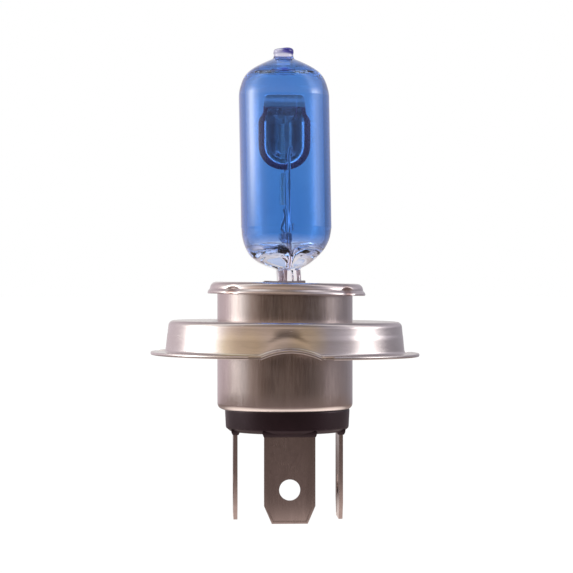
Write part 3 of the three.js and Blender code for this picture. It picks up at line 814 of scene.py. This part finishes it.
def sealed_tip():
    base = GLASS_TOP + 0.02
    top = TIP_TOP - 0.04
    profile = [(0, base), (1.85, base - 0.1), (1.66, base + 0.12), (1.58, base + 0.35), (1.55, base + 0.7)]
    profile += [(1.62, base + 0.95)] + arc(1.12, top - 0.5, 0.5, 10, 84, 6)
    profile += [(0.6, top + 0.02), (0, top)]
    body = turned("sealed_tip", profile, steps=64)

    def sag(p):
        share = ease((p.z - base) / (top - base))
        return (p.x - 0.24, p.y, p.z - 0.16 * share * ease(0.5 - p.x * 0.6))

    reshape(body, sag)
    smooth(body, 60)
    return finish_piece(body, "exhaust_tip", "tip_glass")


# ---- Shield, filaments and inner wires -------------------------------------------------------

RIM = 0.95
HOOD_HALF = 3.33
HOOD_LOW = 39.05
SHOULDER = 37.8
SIDE_START = 33.2


def shield_outline(inset, y, squeeze=1.0, top=None):
    """Points round the shield from its upper right, clockwise: hood, side, round lower end and back up."""
    side = (SHIELD_HALF - inset) * squeeze
    hood = (HOOD_HALF - inset * 0.55) * squeeze
    crown = SHIELD_HIGH - inset if top is None else top
    bowl = (SIDE_START - SHIELD_LOW - inset) * squeeze
    corner = min(0.7, (crown - SHOULDER) * 0.45)
    right = [(hood * 0.5, crown), (hood - corner, crown), (hood - corner * 0.3, crown - corner * 0.3)]
    right += [(hood, crown - corner), (hood, SHOULDER + 0.35), (hood + (side - hood) * 0.45, SHOULDER - 0.02)]
    right += [(side - 0.12, SHOULDER - 0.5), (side, SHOULDER - 0.9), (side, (SHOULDER + SIDE_START) / 2)]
    for i in range(8):
        angle = math.pi / 2 * i / 8
        right.append((side * math.cos(angle) ** 0.9, SIDE_START - bowl * math.sin(angle) ** 0.95))
    right.append((0, SIDE_START - bowl))
    left = [(-x, z) for x, z in reversed(right[:-1])]
    return [(x, y, z) for x, z in [(0, crown)] + right + left]


def shield_dish():
    depth = SHIELD_BACK - SHIELD_FRONT
    front = SHIELD_FRONT
    outlines = (
        (0.35, SHIELD_BACK, 0.55, HOOD_LOW - 1.2),
        (0.3, SHIELD_BACK - 0.15, 0.72, HOOD_LOW - 0.2),
        (0.3, front + depth * 0.75, 0.86, SHIELD_HIGH - 0.5),
        (0.35, front + depth * 0.4, 0.93, SHIELD_HIGH - 0.2),
        (0.3, front + depth * 0.16, 0.96),
        (0.02, front + 0.2, 1.0),
        (0.0, front + 0.1, 1.0),
        (0.05, front, 1.0),
        (RIM * 0.5, front, 1.0, SHIELD_HIGH - 0.3),
        (RIM - 0.1, front + 0.03, 1.0, HOOD_LOW + 0.1),
        (RIM, front + 0.10, 1.0, HOOD_LOW),
        (RIM + 0.55, front + 0.62, 1.0, HOOD_LOW - 0.1),
        (RIM + 1.05, front + 1.20, 1.0, HOOD_LOW - 0.3),
        (RIM + 1.20, front + depth * 0.6, 1.0, HOOD_LOW - 0.5),
        (RIM + 1.40, SHIELD_BACK - 0.6, 0.9, HOOD_LOW - 0.9),
        (RIM + 1.45, SHIELD_BACK - 0.28, 0.5, HOOD_LOW - 2.0),
    )
    dish = loft("shield_dish", [shield_outline(*outline) for outline in outlines])

    def tilt_hood(p):
        """Leans the hood back a little at the top."""
        up = ease((p.z - HOOD_LOW) / (SHIELD_HIGH - HOOD_LOW))
        return (p.x, p.y + 0.45 * up if p.y < front + 0.6 else p.y, p.z)

    modify(dish, "SUBSURF", levels=2, render_levels=2)
    reshape(dish, tilt_hood)
    seam_path = [(1.95, front + 0.25, 41.0), (1.93, front - 0.05, 39.2), (1.85, front - 0.02, 37.4)]
    seam = wire("hood_seam", seam_path, 0.13, 3)
    dish = join([dish, seam], "shield_dish")
    nudge(dish, aside=-0.12)
    smooth(dish, 50)
    finish_piece(dish, "dipped_beam_shield", ("shield_metal", "shield_rim_painted_shade"))
    # Faces on the front rim take the darker copy of the metal, which paints shade there.
    for face in dish.data.polygons:
        middle = face.center / MM
        on_rim = middle.y < front + 0.12 and middle.z < HOOD_LOW + 0.1
        face.material_index = 1 if on_rim else 0
    return dish


FILAMENT_R = 0.4
FILAMENT_WIRE = 0.18
FILAMENT_TURNS = 16
ROD_MID = (low("lead_overwind") + high("lead_overwind")) / 2
ROD = 0.52
# Where each coil stands, where it starts and how long it is.
COILS = {"dipped": ((-0.38, -0.4), 30.7, 5.75), "main": ((-0.4, 0), 23.6, 5.0)}


def filament(name, node, place, start, length):
    """A coil with a leg at each end that leads back to the lamp's middle."""
    x, y = place[0] + FILAMENT_R, place[1]
    end = start + length
    parts = [coil(f"{name}_turns", place, start, length, FILAMENT_TURNS, 2 * FILAMENT_R, FILAMENT_WIRE)]
    for leg, path in (
        ("lower", [(x, y, start + 0.05), (x + 0.02, y - 0.05, start - 0.3), (0, y, low(node).z)]),
        ("upper", [(x, y, end - 0.05), (x + 0.02, y, end + 0.25), (0, y, high(node).z)]),
    ):
        parts.append(wire(f"{name}_{leg}", path, FILAMENT_WIRE))
    return finish_piece(join(parts, name), node, "filament_wire")


def overwind():
    bottom, top = low("lead_overwind").z, high("lead_overwind").z
    place = (0.74, ROD_MID.y)
    body = coil("lead_overwind_turns", place, bottom + 0.1, top - bottom - 0.4, 8, 0.42, 0.17)
    core = wire("overwind_core", [(*place, bottom - 0.2), (*place, top - 0.1)], 0.2)
    return finish_piece(join([body, core], "overwind"), "lead_overwind", "filament_wire")


def rods():
    """The three thick wires that stand in the foot; the rear one has a cut end beside it."""
    foot = FOIL_TOP + 0.1
    top_x, top_y = 0.6, ROD_MID.y
    dipped_top, main_top = high("dipped_lead_rod").z, high("main_lead_rod").z
    support = high("shield_support_rod")
    back_y = support.y - ROD / 2
    paths = {
        "dipped_lead": [
            (0.55, -3.4, foot), (0.55, -3.4, BRIDGE_HIGH - 1), (0.55, -3.2, BRIDGE_HIGH + 0.8),
            (top_x - 0.02, top_y - 0.5, BRIDGE_HIGH + 2.6), (top_x, top_y, BRIDGE_HIGH + 4.2),
            (top_x, top_y, dipped_top - 3), (top_x, top_y, dipped_top - 0.55),
            (top_x + 0.12, top_y, dipped_top - 0.12), (top_x + 0.5, top_y, dipped_top - 0.02),
        ],
        "main_lead": [
            (0.5, 0, foot), (0.4, 0, BRIDGE_LOW - 0.6), (0.1, 0, BRIDGE_HIGH - 0.3),
            (-0.35, 0, BRIDGE_HIGH + 0.35), (-0.55, 0, BRIDGE_HIGH + 1.0), (-0.3, 0, BRIDGE_HIGH + 1.75),
            (-0.06, 0, BRIDGE_HIGH + 2.5), (-0.06, 0, main_top - 0.3), (-0.2, 0, main_top),
        ],
        "shield_support": [
            (0.45, 3.4, foot), (0.3, 3.4, BRIDGE_HIGH + 0.3), (0.25, back_y + 0.1, BRIDGE_HIGH + 2.4),
            (0.22, back_y, BRIDGE_HIGH + 4.5), (0.0, back_y, support.z),
        ],
    }
    stub_path = [(1.4, back_y - 0.6, BRIDGE_HIGH + 0.4), (1.42, back_y - 0.6, BRIDGE_HIGH + 1.6)]
    for name, path in paths.items():
        rod = wire(name, path, ROD)
        if name == "shield_support":
            rod = join([rod, wire("cut_end", stub_path, ROD * 0.85)], name)
        finish_piece(rod, f"{name}_rod", "rod_wire")


def bridge_bead():
    bead = block("bridge_bead", low("wire_bridge"), high("wire_bridge"))
    soften(bead, 0.55, segments=5)
    modify(bead, "SUBSURF", levels=1, render_levels=1)
    smooth(bead, 60)
    return finish_piece(bead, "wire_bridge", "bridge_glass")


# ---- Metal cap -------------------------------------------------------------------------------

RING_STEPS = 360
LUG_HALF = 4.5
LUG_BOW = 1.05
LUG_NOTCH = 1.9
LUGS = (0, 120, 240)


def ring_cup():
    collar = SHELL_R + 0.3
    collar_low = RING_TOP - 3.2
    edge = 0.14
    flange = FLANGE_R - 0.01
    profile = [(collar, collar_low), (collar + SHEET, collar_low), (collar + SHEET, RING_TOP - SHEET - 0.3)]
    profile += arc(collar + SHEET + 0.3, RING_TOP - SHEET - 0.3, 0.3, 180, 90, 3)[1:]
    profile += arc(CUP_TOP_R - 0.9, RING_TOP - 0.9, 0.4, 90, 0, 5)
    profile += [(CUP_TOP_R - 0.36, 2.95), (CUP_TOP_R - 0.30, 2.75)]
    profile += arc(CUP_FOOT_R + 0.5, 0.5, 1.0, 180, 270, 6)
    profile += [(flange - 1.2, -SHEET), (flange - edge, -SHEET)]
    profile += arc(flange - edge, -SHEET + edge, edge, -90, 0, 3)[1:]
    profile += arc(flange - edge, -edge, edge, 0, 90, 3)
    profile += [(flange - 1.2, 0)]
    profile += arc(CUP_FOOT_R + 0.5, 0.5, 0.5, 270, 180, 6)
    profile += [(19.02, 1.2), (18.92, 2.2), (18.87, 2.72), (18.83, 2.88), (18.80, 3.1)]
    profile += arc(CUP_TOP_R - 0.9, RING_TOP - 0.9, 0.9, 0, 90, 8)
    profile += [(14.5, RING_TOP), (collar + 0.35, RING_TOP)]
    profile += arc(collar + 0.35, RING_TOP - 0.35, 0.35, 90, 180, 4)[1:]
    ring = turned("ring_cup", profile, closed=True, steps=RING_STEPS)

    def press(p):
        """Bows the flange up at each lug and presses an arched hollow into the wall above it."""
        radius = math.hypot(p.x, p.y)
        for lug in LUGS:
            across = round_from(p, lug)
            if abs(across) > 7 or radius < CUP_TOP_R - 1.2:
                continue
            flare = ease((radius - CUP_FOOT_R + 0.1) / 0.7) * ease((0.75 - p.z) / 0.5)
            bow = LUG_BOW if lug == 0 else 0.05
            lift = bow * (1 - min(1, (across / LUG_HALF) ** 2)) * ease((2.6 - p.z) / 2.8)
            arch = 1 - ((across + 0.4) / 4.0) ** 2 - ((p.z - 0.2) / 3.5) ** 2
            hollow = 0.17 * ease(arch * 1.5) * ease((p.z + 0.2) / 2.8) * (1 - flare)
            grow = (radius - hollow) / radius
            return (p.x * grow, p.y * grow, p.z + lift)
        return tuple(p)

    reshape(ring, press)
    cutters = []
    for lug in LUGS:
        for start in (-LUG_HALF - LUG_NOTCH, LUG_HALF):
            lower, upper = (start, -FLANGE_R - 1, -2), (start + LUG_NOTCH, -CUP_FOOT_R - 0.02, 1.2)
            cutters.append(block("notch_cutter", lower, upper, lug))
    boolean(ring, cutters, "DIFFERENCE")
    tidy_normals(ring)
    soften(ring, 0.07, degrees=55)
    smooth(ring, 30)
    nudge(ring, lean=0.45)
    return finish_piece(ring, "focusing_ring", "ring_steel")


def disc_cap():
    top, rim = DISC_RIM_R - 0.35, DISC_RIM_R
    edge = 0.16
    skirt = [(rim - SHEET, DISC_BOTTOM + edge)] + arc(rim - edge, DISC_BOTTOM + edge, edge, -90, 0, 3)
    profile = [(0, DISC_TOP - SHEET), (6, DISC_TOP - SHEET)]
    profile += arc(top - 1.0, DISC_TOP - 1.0, 0.5, 90, 10, 5)
    profile += [(rim - SHEET - 0.05, DISC_BOTTOM + 0.4)] + skirt
    for i in range(8):
        profile.append((rim - 0.07 - (rim - top - 0.05) * i / 7, DISC_BOTTOM + 0.45 + 0.35 * i / 7))
    profile.append((top - 0.03, DISC_BOTTOM + 0.95))
    profile += arc(top - 1.05, DISC_TOP - 1.0, 1.0, 0, 90, 9)
    profile += [(6, DISC_TOP), (0, DISC_TOP)]
    disc = turned("disc_cap", profile, steps=RING_STEPS)

    def dent(p):
        """Presses a weld dimple into the skirt at each diagonal."""
        radius = math.hypot(p.x, p.y)
        if radius < top - 1.1:
            return tuple(p)
        for dimple in DIMPLES:
            reach = (round_from(p, dimple) / 1.7) ** 2 + ((p.z - DIMPLE_Z) / 0.95) ** 2
            if reach < 1:
                shrink = (radius - 0.2 * ease(1 - reach)) / radius
                return (p.x * shrink, p.y * shrink, p.z)
        return tuple(p)

    reshape(disc, dent)
    cutter = block("slot_cutter", (-2.75, -6.25, 8), (2.75, 6.25, 12))
    boolean(disc, [cutter], "DIFFERENCE")
    tidy_normals(disc)
    smooth(disc, 32)
    nudge(disc, aside=0.25, lean=0.9, pivot=DISC_TOP - 1)
    return finish_piece(disc, "mounting_disc", "disc_steel")


def shell_tube():
    top = high("base_shell").z - 0.02
    inside = SHELL_R - SHELL_SHEET
    curl = 1.0
    profile = arc(SHELL_R - curl, SHELL_BOTTOM + curl, curl, -90, 0, 9)
    profile += [(SHELL_R, z) for z in (-6, -3, 0, 3, 6, 9)]
    profile += [(SHELL_R, top - 0.1), (SHELL_R - 0.1, top), (inside, top)]
    profile += arc(SHELL_R - curl, SHELL_BOTTOM + curl, curl - SHELL_SHEET, 0, -90, 4)
    shell = turned("shell_tube", profile, closed=True, steps=256)

    def draw(p):
        """The faint out-of-round of a drawn tube."""
        angle = math.atan2(p.y, p.x)
        grow = 1 - 0.0012 * (1 + math.sin(3 * angle + 0.6))
        return (p.x * grow, p.y * grow, p.z)

    reshape(shell, draw)
    smooth(shell, 35)
    return finish_piece(shell, "base_shell", "shell_steel")


CLIP_HALF_X, CLIP_HALF_Y = 2.7, 6.2
# Tongues bent out over the disc: two corners of each, with heights from the disc's top.
TONGUES = (
    ((-3.45, -4.6, 0.1), (-2.3, -1.4, 0.3)),
    ((-3.45, 1.4, 0), (-2.3, 4.6, 0.2)),
    ((2.3, -5.0, 0), (3.0, -2.6, 0.35)),
    ((2.3, 2.6, 0), (3.0, 5.0, 0.3)),
    ((-1.5, -7.0, 0), (1.2, -5.9, 0.2)),
    ((-1.5, 5.9, 0), (1.2, 7.0, 0.2)),
)


def clip_sleeve():
    bottom = low("pinch_clip").z
    inner_x, inner_y = CLIP_HALF_X - 0.4, CLIP_HALF_Y - 0.4
    lift = Vector((0, 0, DISC_TOP))
    top = DISC_TOP + 0.25
    sleeve = block("clip_sleeve", (-CLIP_HALF_X, -CLIP_HALF_Y, bottom), (CLIP_HALF_X, CLIP_HALF_Y, top))
    tongues = [block("tongue", Vector(lower) + lift, Vector(upper) + lift) for lower, upper in TONGUES]
    boolean(sleeve, tongues, "UNION")
    room = block("clip_room", (-inner_x, -inner_y, bottom - 1), (inner_x, inner_y, DISC_TOP + 1))
    boolean(sleeve, [room], "DIFFERENCE")
    tidy_normals(sleeve)
    soften(sleeve, 0.1, segments=3)
    smooth(sleeve, 40)
    return finish_piece(sleeve, "pinch_clip", "clip_steel")


# ---- Base and blades ---------------------------------------------------------------------------

BLADES = {"dipped": 0, "main": -90, "common": 90}
BASE_TOP_R = SHELL_R - 0.85
BASE_END_R = BASE_TOP_R - 0.15
BASE_END = BASE_BOTTOM + 0.7
# How far each boss reaches round its blade, and at what height, from the base down.
BOSS_STEPS = [(grow, BASE_END + up) for grow, up in ((0.3, 0.4), (0.26, 0.02), (0.16, -0.22), (0.06, -0.42))]
BASE_ASIDE = 0.36
PLUG_TOP = high("base_insulator").z


def base_moulding():
    neck = BASE_TOP_R - 0.3
    profile = [(0, BASE_END), (BASE_END_R - 0.75, BASE_END), (BASE_END_R - 0.6, BASE_END + 0.06)]
    profile += [(BASE_END_R - 0.08, BASE_END + 0.5), (BASE_END_R, BASE_END + 0.72)]
    profile += [(BASE_TOP_R - 0.02, SHELL_BOTTOM - 0.2), (BASE_TOP_R - 0.05, SHELL_BOTTOM - 0.02)]
    profile += [(neck, SHELL_BOTTOM - 0.02), (neck, SHELL_BOTTOM + 0.7)]
    profile += [(neck + 0.3, SHELL_BOTTOM + 1.2), (neck + 0.3, PLUG_TOP), (0, PLUG_TOP)]
    base = turned("base_moulding", profile, steps=160)
    half = BLADE_SHEET / 2
    gap = 0.04
    bosses, slots = [], []
    for turn in BLADES.values():
        spin = Matrix.Rotation(math.radians(turn), 3, "Z")
        rings = []
        for grow, z in BOSS_STEPS:
            x, y = BLADE_HALF + grow * 0.85, half + grow
            corners = ((x, -y), (x, y), (-x, y), (-x, -y))
            rings.append([tuple(spin @ Vector((cx, cy + BLADE_MID, z))) for cx, cy in corners])
        bosses.append(loft("boss", rings))
        lower = (-BLADE_HALF - gap, BLADE_MID - half - gap, BASE_BOTTOM - 1)
        upper = (BLADE_HALF + gap, BLADE_MID + half + gap, BASE_END + 0.9)
        slots.append(block("slot_cutter", lower, upper, turn))
    boolean(base, bosses, "UNION")
    boolean(base, slots, "DIFFERENCE")
    tidy_normals(base)
    soften(base, 0.08, degrees=40)
    smooth(base, 30)
    flat_faces(base)
    nudge(base, aside=BASE_ASIDE)
    return finish_piece(base, "base_insulator", "black_resin")


def blade(kind, turn):
    """Cut from a plate: corners off, hole punched, face coined inside a narrow border."""
    half = BLADE_SHEET * 0.39
    chamfer_high, end_half = 2.75, 2.8
    around = Matrix.Rotation(math.radians(turn), 3, "Z")
    plate = block(f"{kind}_blade", (-BLADE_HALF, -half, BLADE_END), (BLADE_HALF, half, BASE_END + 0.8))
    edit(plate)
    for side in (-1, 1):
        bpy.ops.mesh.select_all(action="SELECT")
        slope = Vector((side * chamfer_high, 0, -(BLADE_HALF - end_half))).normalized()
        corner = Vector((side * end_half, 0, BLADE_END)) * MM
        bpy.ops.mesh.bisect(plane_co=corner, plane_no=slope, clear_outer=True, use_fill=True)
    bpy.ops.mesh.select_mode(type="FACE")
    mesh = bmesh.from_edit_mesh(plate.data)
    for face in mesh.faces:
        face.select = abs(face.normal.y) > 0.9
    bmesh.update_edit_mesh(plate.data)
    bpy.ops.mesh.inset(thickness=0.42 * MM, depth=0)
    bpy.ops.mesh.inset(thickness=0.10 * MM, depth=-0.05 * MM)
    bpy.ops.mesh.select_mode(type="VERT")
    bpy.ops.object.mode_set(mode="OBJECT")
    hole_z = BLADE_END + 5.25
    punch = drum("punch", 1.65, (0, -2, hole_z), (0, 2, hole_z), 56)
    boolean(plate, [punch], "DIFFERENCE")
    shank = block("shank", (-2.8, -half + 0.001, BASE_END), (2.8, half - 0.001, BLADE_TOP))
    boolean(plate, [shank], "UNION")
    tidy_normals(plate)
    soften(plate, 0.07, degrees=50)
    reshape(plate, lambda p: around @ (p + Vector((0, BLADE_MID, 0))))
    smooth(plate, 30)
    flat_faces(plate)
    nudge(plate, aside=BASE_ASIDE)
    return finish_piece(plate, f"{kind}_terminal", "blade_steel")


# ---- Build -------------------------------------------------------------------------------------

glass_capsule()
sealed_tip()
shield_dish()
for kind, (place, start, length) in COILS.items():
    filament(f"{kind}_coil", f"{kind}_filament", place, start, length)
overwind()
rods()
bridge_bead()
ring_cup()
disc_cap()
shell_tube()
clip_sleeve()
base_moulding()
for kind, turn in BLADES.items():
    blade(kind, turn)

# The foils and the wires below them keep their CAD shape, as nothing of them can be seen in detail.
for kind in BLADES:
    for node, material in ((f"{kind}_foil", "foil_metal"), (f"{kind}_outer_lead", "rod_wire")):
        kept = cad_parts[node]
        kept.data.materials.clear()
        kept.data.materials.append(MATERIALS[material])

# ---- Studio --------------------------------------------------------------------------------------


def plainness(nodes):
    """1 for what is seen directly or through glass, 0 for what metal reflects, between inside glass."""
    path = nodes.add("ShaderNodeLightPath").outputs
    turned_back = nodes.math("ADD", path["Glossy Depth"], path["Diffuse Depth"])
    direct = nodes.math("LESS_THAN", turned_back, 0.5)
    through = nodes.math("GREATER_THAN", path["Transmission Depth"], 0.5)
    return nodes.math("MAXIMUM", direct, nodes.times(through, 0.35))


def bearing(nodes, vector):
    """Direction round the lamp as a share of a turn: 0.5 in front, more to the right."""
    axes = nodes.axes(vector)
    angle = nodes.math("ARCTAN2", axes["X"], nodes.times(axes["Y"], -1))
    return nodes.math("ADD", nodes.times(angle, 1 / TAU), 0.5)


def studio_floor():
    deselect()
    below = (0, 0, FLOOR_Z * MM - 0.00002)
    bpy.ops.mesh.primitive_circle_add(vertices=96, radius=6, fill_type="NGON", location=below)
    floor = named("studio_floor")
    settle(floor)
    material, nodes, shader, coords = blank_material("pale_floor")
    # Painted light: the floor glows. Its emission paints the studio light that reflections see: bright close
    # round the lamp, dim beyond, and far out the tones of the light at eye level. Seen directly, it glows
    # plain white.
    reach = nodes.vector("LENGTH", nodes.vector("MULTIPLY", coords, (0.4, 1, 1)))
    close = nodes.mix(nodes.remap(reach, 0.024, 0.042), FLOOR_NEAR, FLOOR_FAR)
    far = light_ring(nodes, bearing(nodes, coords), LEVEL_LIGHT)
    lit = nodes.mix(nodes.remap(reach, 0.10, 0.26), close, far)
    nodes.give(shader, {
        "Base Color": (0.02, 0.02, 0.02),
        "Roughness": 0.9,
        "Specular IOR Level": 0,
        "Emission Color": nodes.mix(plainness(nodes), lit, (1.02, 1.02, 1.02)),
        "Emission Strength": 1,
    })
    floor.data.materials.append(material)


# The glow the floor paints for reflections, close round the lamp and farther out.
FLOOR_NEAR = (1.15, 1.0, 0.93)
FLOOR_FAR = (0.26, 0.205, 0.19)
WARM = (1.0, 0.80, 0.66)
EMBER = (1.0, 0.66, 0.50)
TAN = (1.0, 0.82, 0.72)
WHITE = (1.0, 0.98, 0.97)
PINK = (1.0, 0.88, 0.95)
COOL = (0.92, 0.88, 1.0)
# Light round the lamp at eye level, by degrees from the front, positive to the right.
LEVEL_LIGHT = (
    (-180, 0.80, WHITE), (-162, 0.70, PINK), (-135, 0.70, PINK), (-115, 0.80, PINK), (-95, 1.10, WHITE),
    (-78, 0.72, WHITE), (-60, 0.36, TAN), (-42, 0.11, EMBER), (-20, 0.05, EMBER), (0, 0.08, EMBER),
    (22, 0.07, EMBER), (38, 0.05, EMBER), (52, 0.11, TAN), (75, 0.22, PINK), (95, 0.30, COOL),
    (120, 0.28, COOL), (158, 0.42, COOL), (180, 0.80, WHITE),
)
# The same, higher up.
RAISED_LIGHT = (
    (-180, 0.9, WHITE), (-160, 0.6, PINK), (-135, 0.75, PINK), (-112, 1.0, WHITE), (-75, 1.0, WHITE),
    (-60, 0.80, TAN), (-45, 0.64, TAN), (-25, 0.58, WARM), (0, 0.54, WARM), (22, 0.48, TAN),
    (45, 0.46, COOL), (60, 0.66, COOL), (75, 0.85, COOL), (108, 0.8, COOL), (130, 0.55, COOL),
    (160, 0.5, COOL), (180, 0.9, WHITE),
)
SOFTBOX_LEVELS = (
    (-180, 0), (-120, 0), (-107, 0.35), (-98, 1), (-91, 1), (-81, 0.4), (-68, 0.06), (-50, 0),
    (64, 0), (72, 0.35), (78, 1), (90, 0.9), (99, 0.35), (112, 0), (180, 0),
)
SOFTBOXES = [(degrees, level, WHITE) for degrees, level in SOFTBOX_LEVELS]


def light_ring(nodes, place, stops):
    ramp = nodes.give(nodes.add("ShaderNodeValToRGB"), {0: place})
    elements = ramp.color_ramp.elements
    while len(elements) < len(stops):
        elements.new(0.5)
    for element, (degrees, level, tint) in zip(elements, stops):
        element.position = degrees / 360 + 0.5
        element.color = (*(level * c for c in tint), 1)
    return ramp.outputs["Color"]


def softbox_strength(nodes, up, across):
    """How far each softbox shows at a height: the left one starts lower, and both fade out higher up."""
    left_edge = nodes.remap(up, 0.01, 0.055)
    right_foot = nodes.remap(up, 0.02, 0.06, 0.0, 0.25)
    right_edge = nodes.math("ADD", right_foot, nodes.remap(up, 0.12, 0.18, 0.0, 0.75))
    on_right = nodes.math("GREATER_THAN", across, 0)
    edge = nodes.give(nodes.add("ShaderNodeMix"), {0: on_right, 2: left_edge, 3: right_edge}).outputs[0]
    return nodes.times(edge, nodes.remap(up, 0.22, 0.42, 1.0, 0.15))


def studio_light():
    """Soft light all round: dim and warm in front, a tall softbox on each side, a plain white backdrop."""
    world = bpy.data.worlds.new("studio")
    bpy.context.scene.world = world
    world.use_nodes = True
    world.node_tree.nodes.clear()
    nodes = Nodes(world.node_tree)
    direction = nodes.add("ShaderNodeTexCoord").outputs["Generated"]
    axes = nodes.axes(direction)
    up = axes["Z"]
    place = bearing(nodes, direction)
    rings = [light_ring(nodes, place, stops) for stops in (LEVEL_LIGHT, RAISED_LIGHT, SOFTBOXES)]
    around = nodes.mix(nodes.remap(up, 0.06, 0.15), rings[0], rings[1])
    dimmed = nodes.vector("SCALE", around, nodes.remap(up, 0.35, 0.8, 1.0, 0.5))
    path = nodes.add("ShaderNodeLightPath").outputs
    inside = nodes.times(nodes.math("GREATER_THAN", path["Transmission Depth"], 0.5), 1.2)
    again = nodes.math("GREATER_THAN", path["Glossy Depth"], 1.5)
    weaker = nodes.math("SUBTRACT", 1, nodes.times(again, 0.65))
    shape = nodes.math("MAXIMUM", softbox_strength(nodes, up, axes["X"]), inside)
    level = nodes.times(nodes.times(shape, weaker), 4.6)
    glow = nodes.vector("SCALE", rings[2], level)
    overhead = nodes.times(nodes.remap(up, 0.5, 0.8, 0.0, 2.2), inside)
    lit = nodes.vector("ADD", nodes.vector("ADD", dimmed, glow), overhead)
    backdrop = nodes.mix(nodes.remap(up, 0.6, 0.9), (1.0, 1.0, 1.0), (0.62, 0.58, 0.82))
    studio = nodes.give(nodes.add("ShaderNodeBackground"), {"Color": lit}).outputs[0]
    plain = nodes.give(nodes.add("ShaderNodeBackground"), {"Color": backdrop}).outputs[0]
    either = nodes.give(nodes.add("ShaderNodeMixShader"), {0: plainness(nodes), 1: studio, 2: plain})
    nodes.give(nodes.add("ShaderNodeOutputWorld"), {"Surface": either.outputs[0]})


def overhead_light():
    deselect()
    bpy.ops.object.light_add(type="AREA", location=(0, -0.1, 0.6))
    lamp = bpy.context.active_object
    lamp.name = "overhead_softbox"
    lamp.data.size = 0.5
    lamp.data.energy = 1
    lamp.visible_glossy = False
    lamp.visible_transmission = False


def place_camera():
    distance, azimuth, height, aside = 300, -2.6, 10.5, 0.24
    angle = math.radians(azimuth)
    back = Vector((math.sin(angle), -math.cos(angle), 0))
    right = Vector((math.cos(angle), math.sin(angle), 0))
    camera = bpy.data.objects.new("camera", bpy.data.cameras.new("camera"))
    bpy.context.collection.objects.link(camera)
    camera.location = (back * distance + right * aside + Vector((0, 0, height))) * MM
    camera.rotation_mode = "QUATERNION"
    camera.rotation_quaternion = (-back).to_track_quat("-Z", "Y")
    camera.data.sensor_width = 36
    camera.data.lens = 117.6
    camera.data.clip_start = 0.01
    camera.data.clip_end = 50
    bpy.context.scene.camera = camera


studio_floor()
studio_light()
overhead_light()
place_camera()
bpy.context.scene.view_settings.view_transform = "Standard"
bpy.context.scene.cycles.max_bounces = 24
bpy.context.scene.cycles.glossy_bounces = 16
bpy.context.scene.cycles.transmission_bounces = 24
